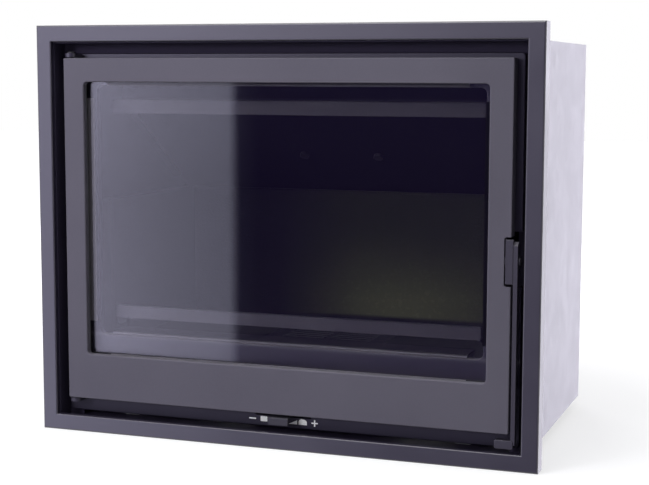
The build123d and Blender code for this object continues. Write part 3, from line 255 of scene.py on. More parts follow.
class SharedEffects:
    """Node groups that several finishes use, built once."""

    cell_scale = 0.55
    cell_rise = 0.6
    speck_range = (0.35, 0.65)

    def __init__(self) -> None:
        """Build the groups."""
        self.grain = self.make_grain()
        self.tone = self.make_tone()

    @staticmethod
    def start(name: str, scale: float, outputs: Iterable[str]) -> Graph:
        """Start a node group with a Scale input.

        Args:
            name: Its name.
            scale: The usual scale.
            outputs: The outputs' names.

        Returns:
            A graph to fill it.
        """
        tree = bpy.data.node_groups.new(name, "ShaderNodeTree")
        given = tree.interface.new_socket("Scale", in_out="INPUT", socket_type="NodeSocketFloat")
        given.default_value = scale
        for label in outputs:
            tree.interface.new_socket(label, in_out="OUTPUT", socket_type="NodeSocketFloat")
        return Graph(tree)

    def make_grain(self) -> bpy.types.NodeTree:
        """Fine orange-peel grain of a sprayed or cast skin.

        Returns:
            The group: Height and a 0 to 1 Speck.
        """
        graph = self.start("sprayed_grain", 900.0, ("Height", "Speck"))
        given = graph.add("NodeGroupInput")
        fine = graph.add("ShaderNodeTexNoise")
        graph.feed(fine.inputs["Vector"], graph.place)
        graph.feed(fine.inputs["Scale"], given.outputs["Scale"])
        fine.inputs["Detail"].default_value = 2.0
        cells = graph.add("ShaderNodeTexVoronoi", feature="SMOOTH_F1")
        graph.feed(cells.inputs["Vector"], graph.place)
        graph.feed(cells.inputs["Scale"], graph.times(given.outputs["Scale"], self.cell_scale))
        out = graph.add("NodeGroupOutput")
        rise = graph.times(cells.outputs["Distance"], self.cell_rise)
        graph.feed(out.inputs["Height"], graph.plus(fine.outputs["Fac"], rise))
        graph.feed(out.inputs["Speck"], graph.spread(fine.outputs["Fac"], *self.speck_range))
        return graph.tree

    def make_tone(self) -> bpy.types.NodeTree:
        """Slow drift of colour over a large piece, such as handling marks and uneven film.

        Returns:
            The group: a 0 to 1 Cloud.
        """
        graph = self.start("slow_tone", 4.0, ("Cloud",))
        given = graph.add("NodeGroupInput")
        wide = graph.add("ShaderNodeTexNoise")
        graph.feed(wide.inputs["Vector"], graph.place)
        graph.feed(wide.inputs["Scale"], given.outputs["Scale"])
        wide.inputs["Detail"].default_value = 4.0
        out = graph.add("NodeGroupOutput")
        graph.feed(out.inputs["Cloud"], graph.spread(wide.outputs["Fac"], *NOISE_RANGE))
        return graph.tree


EFFECTS = SharedEffects()


class Surface(Graph):
    """The nodes of a new material, with its Principled shader."""

    def __init__(self, name: str) -> None:
        """Make the material."""
        self.material = bpy.data.materials.new(name)
        self.material.use_nodes = True
        super().__init__(self.material.node_tree)
        self.shader = self.find("BSDF_PRINCIPLED")

    def set(self, label: str, source: object) -> None:
        """Feed one of the shader's inputs."""
        self.feed(self.shader.inputs[label], source)

    def fed(self, label: str) -> Socket:
        """Give what feeds one of the shader's inputs."""
        return self.shader.inputs[label].links[0].from_socket

    def show(self, source: Socket) -> None:
        """Show another shader in place of the Principled one."""
        self.feed(self.find("OUTPUT_MATERIAL").inputs["Surface"], source)

    def effect(self, tree: bpy.types.NodeTree, scale: float) -> bpy.types.NodeOutputs:
        """Place a shared effect with its own scale.

        Args:
            tree: The shared group.
            scale: Its scale.

        Returns:
            Its outputs.
        """
        node = self.add("ShaderNodeGroup", node_tree=tree)
        node.inputs["Scale"].default_value = scale
        return node.outputs

    def vary(self, pattern: object, reach: Span, middle: float, drift: Span) -> None:
        """Vary the roughness by a pattern.

        Args:
            pattern: The pattern.
            reach: The range of its values.
            middle: The usual roughness.
            drift: What the range's two ends add to it.
        """
        self.set("Roughness", self.spread(pattern, *reach, *(middle + step for step in drift)))

    def emboss(self, height: object, depth: float, strength: float = 1.0) -> None:
        """Bump the surface.

        Args:
            height: The height pattern.
            depth: Its depth in metres.
            strength: How much of it shows.
        """
        node = self.add("ShaderNodeBump")
        node.inputs["Strength"].default_value = strength
        node.inputs["Distance"].default_value = depth
        self.feed(node.inputs["Height"], height)
        self.set("Normal", node.outputs[0])


# ---- Finishes ----
@dataclass(frozen=True)
class Finish:
    """A surface finish that can make its own material."""

    name: str

    def make(self) -> bpy.types.Material:
        """Build the material.

        Returns:
            The material.
        """
        surface = Surface(self.name)
        self.lay(surface)
        return surface.material

    def lay(self, surface: Surface) -> None:
        """Lay the finish on a new surface."""
        raise NotImplementedError


@dataclass(frozen=True)
class SprayedPaint(Finish):
    """Satin or matt sprayed coating with a fine grain; on some pieces, a zone of painted shade or painted
    highlight.
    """

    colour: Colour
    roughness: float = 0.42
    grain: float = 950.0
    depth: float = 0.00004
    drift: float = 0.12
    specular: float = 0.5
    # colour of the painted light zone; by default a dark painted shade
    painted_light_colour: Colour = srgb(9, 8, 12)
    zone_roughness: float = 0.85
    cloud: float = 5.0
    fleck_gain: float = 1.25
    fleck_share: float = 0.25
    roughness_drift: Span = (-0.05, 0.06)

    def lay(self, surface: Surface) -> None:
        """Spray the coating.

        Args:
            surface: The new surface.
        """
        grain = surface.effect(EFFECTS.grain, self.grain)
        cloud = surface.effect(EFFECTS.tone, self.cloud)["Cloud"]
        base = surface.mix(cloud, scaled(self.colour, 1 - self.drift), scaled(self.colour, 1 + self.drift))
        flecks = surface.times(grain["Speck"], self.fleck_share)
        surface.set("Base Color", surface.mix(flecks, base, scaled(self.colour, self.fleck_gain)))
        surface.vary(cloud, (0.0, 1.0), self.roughness, self.roughness_drift)
        # painted shade or painted highlight on the masked zone
        self.lay_painted_light(surface)
        surface.set("Specular IOR Level", self.specular)
        surface.emboss(grain["Height"], self.depth)

    def zone(self, surface: Surface) -> Socket | None:
        """Give the 0 to 1 mask of the painted shade or painted highlight: none on plain paint."""
        return None

    def lay_painted_light(self, surface: Surface) -> None:
        """Lay the painted shade or painted highlight over the masked area.

        Args:
            surface: The painted surface.
        """
        mask = self.zone(surface)
        if mask is None:
            return
        surface.set("Base Color", surface.mix(mask, surface.fed("Base Color"), self.painted_light_colour))
        before = surface.fed("Roughness")
        step = surface.times(mask, surface.math("SUBTRACT", self.zone_roughness, before))
        surface.set("Roughness", surface.plus(before, step))


@dataclass(frozen=True)
class TrimPaint(SprayedPaint):
    """Satin coating with painted shade on its inner returns."""

    front: float = -0.2122
    reach: float = 0.001
    half_width: float = 0.338
    low: float = -0.004
    high: float = 0.533

    def zone(self, surface: Surface) -> Socket:
        """Mask the inner returns, which carry the painted shade.

        Args:
            surface: The painted surface.

        Returns:
            The mask.
        """
        across, depth, height = surface.axes
        across = surface.math("ABSOLUTE", across)
        mask = surface.spread(depth, self.front, self.front + self.reach)
        for value, start, end in ((across, self.half_width + self.reach, self.half_width),
                                  (height, self.low, self.low + self.reach),
                                  (height, self.high + self.reach, self.high)):
            mask = surface.times(mask, surface.spread(value, start, end))
        return mask


@dataclass(frozen=True)
class BandedPaint(SprayedPaint):
    """Coating with painted shade or a painted highlight past a height, a depth or a width."""

    axis: int = 2
    start_at: float = 0.0
    full_at: float = 0.0

    def zone(self, surface: Surface) -> Socket:
        """Mask the band."""
        return surface.spread(surface.axes[self.axis], self.start_at, self.full_at)


@dataclass(frozen=True)
class MouthPaint(SprayedPaint):
    """Front frame paint: painted shade at the glass's foot and below the door, and a painted highlight on the
    lip.
    """

    glass_foot: float = 0.091
    foot_fade: float = 0.006
    rim: float = 0.121
    rim_fade: float = 0.004
    lip: float = 0.116
    below_door: Span = (0.026, 0.010)
    matt_heights: Span = (0.05, 0.09)
    matt: float = 0.62
    # colour of the two bands of painted shade
    painted_band_shade: Colour = srgb(21, 17, 32)

    def lay_painted_light(self, surface: Surface) -> None:
        """Lay the two bands of painted shade and the painted highlight on the lip, and take the gloss off
        below the glass.

        Args:
            surface: The painted surface.
        """
        height = surface.axes[2]
        # painted shade: a band at the glass's foot fading upwards, and a band below the door
        share = surface.times(surface.spread(height, self.glass_foot - self.foot_fade, self.glass_foot),
                              surface.spread(height, self.rim, self.glass_foot))
        share = surface.larger(share, surface.spread(height, *self.below_door))
        band_shaded = surface.mix(share, surface.fed("Base Color"), self.painted_band_shade)
        # painted highlight along the lip
        lip = surface.times(surface.spread(height, self.lip, self.rim),
                            surface.spread(height, self.rim + self.rim_fade, self.rim))
        surface.set("Base Color", surface.mix(lip, band_shaded, self.painted_light_colour))
        matt = surface.spread(height, *self.matt_heights, self.matt, 0.0)
        surface.set("Roughness", surface.larger(surface.fed("Roughness"), matt))


@dataclass(frozen=True)
class Galvanised(Finish):
    """Zinc-coated sheet: soft spangle, rolling streaks, darker clouds and, on some, a darker band at the
    front.
    """

    pale: Colour
    dark: Colour
    metallic: float = 0.35
    spangle: float = 55.0
    dark_front: Span | None = None
    dark_front_colour: Colour = srgb(58, 52, 74)
    spangle_share: float = 0.06
    streak: float = 45.0
    streak_stretch: Point = (1.0, 3.0, 0.06)
    streak_share: float = 0.08
    streak_depth: float = 0.00004
    streak_strength: float = 0.03
    cloud: float = 3.0
    cloud_share: float = 0.08
    roughness: Span = (0.47, 0.53)

    def lay(self, surface: Surface) -> None:
        """Coat the sheet.

        Args:
            surface: The new surface.
        """
        flake = surface.flakes(self.spangle)
        streak = surface.noise(self.streak, detail=4.0, stretch=self.streak_stretch)
        cloud = surface.effect(EFFECTS.tone, self.cloud)["Cloud"]
        share = surface.plus(surface.times(flake[0], self.spangle_share),
                             surface.times(streak, self.streak_share))
        share = surface.plus(share, surface.times(cloud, self.cloud_share))
        colour = surface.mix(share, self.pale, self.dark)
        # on some sheets, darker in a band at the front
        if self.dark_front:
            colour = surface.mix(surface.spread(surface.axes[1], *self.dark_front), colour, self.dark_front_colour)
        surface.set("Base Color", colour)
        surface.set("Metallic", self.metallic)
        surface.set("Roughness", surface.spread(flake[1], 0.0, 1.0, *self.roughness))
        surface.emboss(streak, self.streak_depth, self.streak_strength)


@dataclass(frozen=True)
class CastIron(Finish):
    """Blacked casting with a coarse, sandy skin."""

    colour: Colour
    roughness: float = 0.62
    crest_gain: float = 1.7
    grain: float = 420.0
    pits: float = 160.0
    crests: Span = (0.4, 0.7)
    depth: float = 0.00018
    roughness_drift: Span = (-0.08, 0.12)

    def lay(self, surface: Surface) -> None:
        """Roughen the casting.

        Args:
            surface: The new surface.
        """
        grain = surface.effect(EFFECTS.grain, self.grain)
        pits = surface.noise(self.pits, detail=5.0)
        crests = surface.spread(pits, *self.crests)
        surface.set("Base Color", surface.mix(crests, self.colour, scaled(self.colour, self.crest_gain)))
        surface.vary(pits, NOISE_RANGE, self.roughness, self.roughness_drift)
        surface.emboss(surface.plus(grain["Height"], pits), self.depth)


@dataclass(frozen=True)
class PressedBoard(Finish):
    """Pressed mineral board, flaked, with a painted pool of light low down, painted shade round it, deeper at
    left and foot.
    """

    colour: Colour
    fleck: Colour
    # the board outside the painted pool of light: painted shade
    painted_board_shade: Colour
    # deeper painted shade towards the left and at the foot
    shade: Colour = srgb(10, 9, 12)
    # where the painted pool of light sits
    lit_heights: Span = (0.262, 0.14)
    lit_middle: float = 0.07
    lit_reach: Span = (0.02, 0.2)
    side_share: float = 0.15
    shade_reach: Span = (0.0, -0.13)
    foot: Span = (0.116, 0.111)
    patch: float = 6.0
    patch_range: Span = (0.2, 0.8)
    patch_drift: Span = (-0.012, 0.012)
    flakes: float = 260.0
    fleck_range: Span = (0.75, 1.0)
    pores: float = 300.0
    flake_rise: float = 0.5
    depth: float = 0.0005
    roughness: float = 0.9

    def lay(self, surface: Surface) -> None:
        """Press the board and lay its painted light and painted shade.

        Args:
            surface: The new surface.
        """
        flake = surface.flakes(self.flakes)
        base = surface.mix(surface.spread(flake[0], *self.fleck_range), self.colour, self.fleck)
        across, _, height = surface.axes
        drift = surface.spread(surface.noise(self.patch, detail=2.0), *self.patch_range, *self.patch_drift)
        # a painted pool of light low down, its edge drifting with noise, fading to painted shade
        rise = surface.spread(surface.plus(height, drift), *self.lit_heights)
        aside = surface.math("ABSOLUTE", surface.math("SUBTRACT", across, self.lit_middle))
        lit_patch = surface.times(surface.times(rise, rise),
                              surface.spread(aside, *self.lit_reach, 1.0, self.side_share))
        board = surface.mix(lit_patch, self.painted_board_shade, base)
        # deeper painted shade towards the left and at the foot
        dark = surface.larger(surface.spread(across, *self.shade_reach), surface.spread(height, *self.foot))
        surface.set("Base Color", surface.mix(dark, board, self.shade))
        surface.set("Roughness", self.roughness)
        surface.emboss(surface.plus(surface.noise(self.pores, detail=4.0),
                                    surface.times(flake[1], self.flake_rise)), self.depth)


@dataclass(frozen=True)
class WorkedSteel(Finish):
    """Plain steel of pins, bolts and screws, drawn along one axis."""

    colour: Colour
    roughness: float = 0.35
    metallic: float = 0.9
    polish_gain: float = 1.3
    draw: float = 500.0
    draw_stretch: Point = (1.0, 1.0, 0.06)
    depth: float = 0.00003
    roughness_drift: Span = (-0.06, 0.1)

    def lay(self, surface: Surface) -> None:
        """Draw the steel.

        Args:
            surface: The new surface.
        """
        draw = surface.noise(self.draw, detail=2.0, stretch=self.draw_stretch)
        surface.set("Base Color", surface.mix(draw, self.colour, scaled(self.colour, self.polish_gain)))
        surface.set("Metallic", self.metallic)
        surface.vary(draw, NOISE_RANGE, self.roughness, self.roughness_drift)
        surface.emboss(draw, self.depth)


@dataclass(frozen=True)
class GlassFibre(Finish):
    """Knitted or woven glass fibre of the door's rope and tape."""

    colour: Colour
    pitch: float = 420.0
    slants: Span = (45.0, -45.0)
    gap_gain: float = 0.45
    fuzz: float = 1500.0
    fuzz_rise: float = 0.4
    depth: float = 0.0006
    roughness: float = 0.95
    sheen: float = 0.3

    def lay(self, surface: Surface) -> None:
        """Weave the fibre.

        Args:
            surface: The new surface.
        """
        waves = []
        for turn in self.slants:
            mapping = surface.add("ShaderNodeMapping")
            surface.feed(mapping.inputs["Vector"], surface.place)
            mapping.inputs["Rotation"].default_value = (0.0, radians(turn), 0.0)
            wave = surface.add("ShaderNodeTexWave", wave_profile="SIN")
            surface.feed(wave.inputs["Vector"], mapping.outputs[0])
            wave.inputs["Scale"].default_value = self.pitch / 3
            waves.append(wave.outputs["Fac"])
        weave = surface.larger(*waves)
        surface.set("Base Color", surface.mix(weave, scaled(self.colour, self.gap_gain), self.colour))
        surface.set("Roughness", self.roughness)
        surface.set("Sheen Weight", self.sheen)
        fuzz = surface.times(surface.noise(self.fuzz, detail=2.0), self.fuzz_rise)
        surface.emboss(surface.plus(weave, fuzz), self.depth)


@dataclass(frozen=True)
class CeramicGlass(Finish):
    """Clear ceramic glass that lets lamps through to the firebox."""

    tint: Colour
    shade: Colour
    bending: float = 1.53
    haze: float = 14.0
    haze_range: Span = (0.4, 0.8)
    roughness: Span = (0.0, 0.006)

    def lay(self, surface: Surface) -> None:
        """Clear the glass.

        Args:
            surface: The new surface.
        """
        surface.set("Base Color", self.tint)
        surface.set("Transmission Weight", 1.0)
        surface.set("IOR", self.bending)
        haze = surface.noise(self.haze, detail=5.0)
        surface.set("Roughness", surface.spread(haze, *self.haze_range, *self.roughness))
        clear = surface.add("ShaderNodeBsdfTransparent")
        surface.feed(clear.inputs["Color"], self.shade)
        path = surface.add("ShaderNodeLightPath")
        both = surface.add("ShaderNodeMixShader")
        surface.feed(both.inputs[0], path.outputs["Is Shadow Ray"])
        surface.feed(both.inputs[1], surface.shader.outputs[0])
        surface.feed(both.inputs[2], clear.outputs[0])
        surface.show(both.outputs[0])


@dataclass(frozen=True)
class PrintedInk(Finish):
    """Screen-printed ink, slightly broken at its edges."""

    colour: Colour
    worn_gain: float = 0.75
    wear: float = 700.0
    worn_range: Span = (0.5, 0.75)
    depth: float = 0.00002
    roughness: float = 0.5

    def lay(self, surface: Surface) -> None:
        """Print the ink.

        Args:
            surface: The new surface.
        """
        thin = surface.noise(self.wear, detail=3.0)
        worn = surface.spread(thin, *self.worn_range)
        surface.set("Base Color", surface.mix(worn, self.colour, scaled(self.colour, self.worn_gain)))
        surface.set("Roughness", self.roughness)
        surface.emboss(thin, self.depth)


class Coat(Enum):
    """Every finish on the insert."""

    # trim: its inner returns carry a darker painted shade
    TRIM = TrimPaint("trim_paint", srgb(54, 51, 62), 0.36, specular=0.85, painted_light_colour=srgb(44, 40, 56),
                     zone_roughness=0.3)
    DOOR = SprayedPaint("door_paint", srgb(84, 81, 92), 0.52, specular=0.35)
    # front frame: two bands of painted shade and a painted highlight on the lip
    FRAME = MouthPaint("front_frame_paint", srgb(43, 39, 53), 0.31, depth=0.000008, specular=0.55,
                       painted_light_colour=srgb(80, 77, 86))
    RECESS = SprayedPaint("recess_black", srgb(46, 41, 59), 0.7, specular=0.25)
    LEVER = SprayedPaint("lever_paint", srgb(56, 53, 64), 0.45, specular=0.4)
    SLIDER = SprayedPaint("slider_paint", srgb(54, 52, 60), 0.45, specular=0.35)
    FIREBOX = SprayedPaint("firebox_black", srgb(16, 15, 19), 0.85, 500.0, 0.00006, 0.25, specular=0.2)
    BAFFLE = SprayedPaint("baffle_steel", srgb(20, 18, 24), 0.8, 500.0, 0.00006, 0.25, specular=0.2)
    BAR = SprayedPaint("bar_steel", srgb(51, 48, 55), 0.34, 700.0, 0.000008, 0.15, specular=0.5)
    # sill: the pale band below 0.124 m is a painted highlight along its nose
    SILL = BandedPaint("sill_steel", srgb(28, 26, 32), 0.45, 700.0, 0.00001, 0.15, specular=0.3,
                       painted_light_colour=srgb(106, 102, 112), zone_roughness=0.4, start_at=0.1247, full_at=0.1237)
    # airwash deflector: darker above 0.449 m, a painted shade
    WASH = BandedPaint("airwash_steel", srgb(46, 43, 50), 0.42, 700.0, 0.000008, 0.15, specular=0.33,
                       start_at=0.442, full_at=0.449)
    AIR = SprayedPaint("air_steel", srgb(40, 40, 43), 0.6)
    ZINC = Galvanised("casing_zinc", srgb(208, 205, 217), srgb(160, 157, 170), metallic=0.12)
    # base: darker in a band at its front
    BASE = Galvanised("base_zinc", srgb(208, 205, 217), srgb(160, 157, 170), metallic=0.12,
                      dark_front=(-0.135, -0.142))
    CLIP = Galvanised("clip_zinc", srgb(150, 150, 156), srgb(110, 110, 118))
    # lining and hearth: the third colour and the shade are painted shade round a painted pool of light
    LINING = PressedBoard("firebox_lining", srgb(80, 82, 57), srgb(88, 90, 64), srgb(31, 33, 17))
    HEARTH = PressedBoard("hearth_slab", srgb(25, 24, 25), srgb(34, 33, 32), srgb(24, 23, 24),
                          shade=srgb(24, 23, 25))
    GRATE = CastIron("grate_iron", srgb(28, 27, 31))
    BOLT = WorkedSteel("bolt_steel", srgb(46, 44, 50), 0.6, 0.3)
    STEEL = WorkedSteel("pin_steel", srgb(128, 126, 132), metallic=0.6)
    # glass retainers: pale where x is under 0.26 m, a painted reflection of the bright wall; the right end
    # keeps the dark paint
    STRIP = BandedPaint("retainer_steel", srgb(28, 26, 32), 0.3, 700.0, 0.00001, 0.1, specular=0.5,
                        painted_light_colour=srgb(165, 160, 172), zone_roughness=0.4, axis=0,
                        start_at=0.262, full_at=0.258)
    GLASS = CeramicGlass("door_glass", (0.93, 0.93, 0.93), (0.65, 0.65, 0.65))
    ROPE = GlassFibre("seal_rope", srgb(88, 86, 82))
    TAPE = GlassFibre("glass_tape", srgb(70, 70, 70), 900.0)
    INK = PrintedInk("scale_ink", srgb(252, 252, 253))

    @cached_property
    def material(self) -> bpy.types.Material:
        """Make the finish's material, once."""
        return self.value.make()


# ---- Pieces ----
def mm(*values: float) -> tuple[float, ...]:
    """Turn millimetres into metres."""
    return tuple(v / 1000 for v in values)


def linked(name: str, data: bpy.types.ID) -> bpy.types.Object:
    """Make an object in the scene.

    Args:
        name: Its name.
        data: Its mesh, lamp or camera.

    Returns:
        The object.
    """
    item = bpy.data.objects.new(name, data)
    bpy.context.scene.collection.objects.link(item)
    return item


def placed(name: str, mesh: bmesh.types.BMesh) -> bpy.types.Object:
    """Make an object of a mesh, which is freed.

    Args:
        name: The object's name.
        mesh: The mesh.

    Returns:
        The object.
    """
    data = bpy.data.meshes.new(name)
    mesh.to_mesh(data)
    mesh.free()
    return linked(name, data)


class Piece:
    """A mesh under construction that becomes one piece of the insert."""

    def __init__(self, name: str) -> None:
        """Start an empty mesh."""
        self.name = name
        self.mesh = bmesh.new()

    def turned(self, radius: float, height: float, place: Point, towards: Point, sides: int,
               edge: float = 0.0) -> None:
        """Add a round or many-sided head.

        Args:
            radius: Its radius, metres.
            height: Its height, metres.
            place: The middle of its foot, metres.
            towards: The way it stands.
            sides: Number of sides.
            edge: Bevel width, metres.
        """
        verts = bmesh.ops.create_cone(self.mesh, cap_ends=True, segments=sides, radius1=radius,
                                      radius2=radius, depth=height)["verts"]
        top = max(v.co.z for v in verts)
        if edge:
            rim = [e for e in {e for v in verts for e in v.link_edges}
                   if all(abs(v.co.z - top) < WELD_DISTANCE for v in e.verts)]
            made = bmesh.ops.bevel(self.mesh, geom=rim, offset=edge, affect="EDGES", segments=2,
                                   profile=0.5, material=-1)
            verts = list({v for v in verts if v.is_valid} | set(made["verts"]))
        bmesh.ops.translate(self.mesh, vec=(0, 0, height / 2), verts=verts)
        turn = Vector((0, 0, 1)).rotation_difference(Vector(towards)).to_matrix()
        bmesh.ops.rotate(self.mesh, cent=(0, 0, 0), matrix=turn, verts=verts)
        bmesh.ops.translate(self.mesh, vec=place, verts=verts)

    def finish(self, body: str, slot: str, coat: Coat, smooth: float = SMOOTH_UNDER) -> bpy.types.Object:
        """Close the mesh and put the piece on its body.

        Args:
            body: The body it rides on.
            slot: Not used.
            coat: Its finish.
            smooth: Angle under which neighbouring faces shade as one, degrees.

        Returns:
            The object.
        """
        bmesh.ops.remove_doubles(self.mesh, verts=self.mesh.verts, dist=WELD_DISTANCE)
        bmesh.ops.recalc_face_normals(self.mesh, faces=self.mesh.faces)
        for edge in self.mesh.edges:
            edge.smooth = edge.calc_face_angle(pi) < radians(smooth)
        for face in self.mesh.faces:
            face.smooth = True
        item = placed(self.name, self.mesh)
        item.data.materials.append(coat.material)
        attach(item, body)
        LOG.info("%s: %d faces", self.name, len(item.data.polygons))
        return item


class PaintedNodes:
    """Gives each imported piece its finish."""

    coats: dict[Coat, tuple[str, ...]] = {
        Coat.TRIM: ("trim_frame",),
        Coat.DOOR: ("door_frame",),
        Coat.FRAME: ("front_frame", "hinge_lug_upper", "hinge_lug_lower"),
        Coat.RECESS: ("front_surround",),
        Coat.LEVER: ("handle_lever", "latch_pin"),
        Coat.SLIDER: ("air_slider",),
        Coat.FIREBOX: ("firebox_left_wall", "firebox_right_wall", "firebox_back_wall", "firebox_floor",
                       "firebox_top", "baffle_rails", "flue_collar"),
        Coat.BAFFLE: ("baffle", "ash_box", "ash_pan"),
        Coat.BAR: ("log_retainer", "log_retainer_shelves"),
        Coat.SILL: ("sill_plate",),
        Coat.WASH: ("airwash_deflector",),
        Coat.AIR: ("air_box", "air_guides"),
        Coat.ZINC: ("casing_left", "casing_right", "casing_top", "casing_back"),
        Coat.BASE: ("casing_base",),
        Coat.CLIP: ("trim_clips", "support_rails", "rear_spacers"),
        Coat.LINING: ("back_lining", "left_lining", "right_lining"),
        Coat.HEARTH: ("base_lining",),
        Coat.GRATE: ("grate",),
        Coat.BOLT: ("hinge_pins", "hinge_washer", "collar_bolts", "baffle_bolts"),
        Coat.STEEL: ("latch_keeper", "latch_hook"),
        Coat.STRIP: ("glass_retainers",),
        Coat.GLASS: ("door_glass",),
    }

    def build(self) -> None:
        """Put the finishes on."""
        for coat, nodes in self.coats.items():
            for node in nodes:
                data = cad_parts[node].data
                data.materials.clear()
                data.materials.append(coat.material)
                LOG.info("%s: %s", node, coat.value.name)


@dataclass
class AirScale:
    """Marks printed beside the air slider: less air, small fire, wedge, large fire, more air."""

    plane: float = -186.0
    ink: float = 0.15
    minus: Point = (-44.0, 19.3, 10.0)
    ember: Box = (-32.5, -22.5, 16.2, 23.2)
    wedge: Box = (8.0, 20.2, 15.7, 21.6)
    flame: Box = (22.0, 34.0, 15.7, 23.2)
    plus: Point = (45.0, 19.3, 9.0)
    stroke: float = 1.8
    corner: float = 1.2
    dome: float = 4.2
    arc_steps: int = 6

    def outline(self, piece: Piece, points: Sequence[Span]) -> None:
        """Add one printed area from its outline.

        Args:
            piece: The piece to add to.
            points: Corners (x, z) in order, millimetres.
        """
        verts = [piece.mesh.verts.new(mm(x, self.plane, z)) for x, z in points]
        face = piece.mesh.faces.new(verts)
        raised = bmesh.ops.extrude_face_region(piece.mesh, geom=[face])["geom"]
        lifted = [item for item in raised if isinstance(item, bmesh.types.BMVert)]
        bmesh.ops.translate(piece.mesh, vec=mm(0, -self.ink, 0), verts=lifted)

    def rounded(self, box: Box, low: float, high: float) -> list[Span]:
        """Give the outline of a block with rounded corners.

        Args:
            box: Left, right, low and high, millimetres.
            low: Radius of the two lower corners.
            high: Radius of the two upper corners.

        Returns:
            Its corners (x, z) in order.
        """
        left, right, foot, top = box
        points = []
        for x, z, radius, start in ((right - high, top - high, high, 0.0),
                                    (left + high, top - high, high, 90.0),
                                    (left + low, foot + low, low, 180.0),
                                    (right - low, foot + low, low, 270.0)):
            for step in range(self.arc_steps + 1):
                turn = radians(start + 90.0 * step / self.arc_steps)
                points.append((x + radius * cos(turn), z + radius * sin(turn)))
        return points

    def bar(self, piece: Piece, middle: Span, wide: float, high: float) -> None:
        """Add one stroke.

        Args:
            piece: The piece to add to.
            middle: Its middle (x, z), millimetres.
            wide: Its width.
            high: Its height.
        """
        x, z = middle
        aside, rise = wide / 2, high / 2
        self.outline(piece, [(x - aside, z - rise), (x + aside, z - rise),
                             (x + aside, z + rise), (x - aside, z + rise)])

    def build(self) -> None:
        """Print the marks."""
        marks = Piece("air_marks")
        self.bar(marks, self.minus[:2], self.minus[2], self.stroke)
        self.outline(marks, self.rounded(self.ember, self.corner, self.corner))
        left, right, foot, top = self.wedge
        self.outline(marks, [(left, foot), (right, foot), (right, top), (left, foot + self.ink)])
        self.outline(marks, self.rounded(self.flame, self.ink, self.dome))
        self.bar(marks, self.plus[:2], self.plus[2], self.stroke)
        upright = (self.plus[2] - self.stroke) / 2
        for side in (-1, 1):
            x, z = self.plus[0], self.plus[1] + side * (self.stroke + upright) / 2
            self.bar(marks, (x, z), self.stroke, upright)
        marks.finish("insert", "frame_paint", Coat.INK)


@dataclass
class DoorSeals:
    """The rope in the door's groove and the tape in front of the glass."""

    rope_wide: float = 5.8
    rope_inset: float = 3.0
    rope_corner: float = 11.0
    tape_wide: float = 6.5
    tape_corner: float = 7.0
    sides: int = 16
    steps: int = 6
    smooth: float = 60.0

    def sweep(self, name: str, low: Vector, high: Vector, inset: float, radius: float,
              wide: float) -> Piece:
        """Sweep an oval round a rounded rectangle that stands upright.

        Args:
            name: The piece's name.
            low: Lowest corner of the box to fill.
            high: Its highest corner.
            inset: From the box's sides to the oval's middle, millimetres.
            radius: Corner radius, millimetres.
            wide: The oval's width in the rectangle's plane, millimetres.

        Returns:
            The piece, unfinished.
        """
        inset, radius, wide = mm(inset, radius, wide)
        middle, deep = (low.y + high.y) / 2, high.y - low.y
        left, right, foot, top = low.x + inset, high.x - inset, low.z + inset, high.z - inset
        corners = [Vector((x, middle, z)) for x, z in ((left, foot), (right, foot),
                                                       (right, top), (left, top))]
        through = Vector((0, 1, 0))
        piece = Piece(name)
        rings = []
        for index, here in enumerate(corners):
            before = (corners[index - 1] - here).normalized()
            after = (corners[(index + 1) % len(corners)] - here).normalized()
            centre = here + (before + after) * radius
            for step in range(self.steps + 1):
                turn = step / self.steps * pi / 2
                out = -after * cos(turn) - before * sin(turn)
                verts = bmesh.ops.create_circle(piece.mesh, segments=self.sides, radius=1.0)["verts"]
                basis = Matrix((out * wide / 2, through * deep / 2, out.cross(through))).transposed()
                bmesh.ops.transform(piece.mesh, verts=verts,
                                    matrix=Matrix.Translation(centre + out * radius) @ basis.to_4x4())
                rings.append(list({e for v in verts for e in v.link_edges}))
        for index, ring in enumerate(rings):
            bmesh.ops.bridge_loops(piece.mesh, edges=ring + rings[(index + 1) % len(rings)])
        return piece

    def build(self) -> None:
        """Lay the rope and the tape."""
        low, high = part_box("door_seal")
        rope = self.sweep("seal_rope", low, high, self.rope_inset, self.rope_corner,
                          self.rope_wide).finish("door", "rope", Coat.ROPE, self.smooth)
        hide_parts("door_seal")
        low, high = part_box("glass_gasket")
        tape = self.sweep("glass_tape", low, high, self.tape_wide / 2, self.tape_corner,
                          self.tape_wide).finish("door", "gasket", Coat.TAPE, self.smooth)
        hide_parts("glass_gasket")


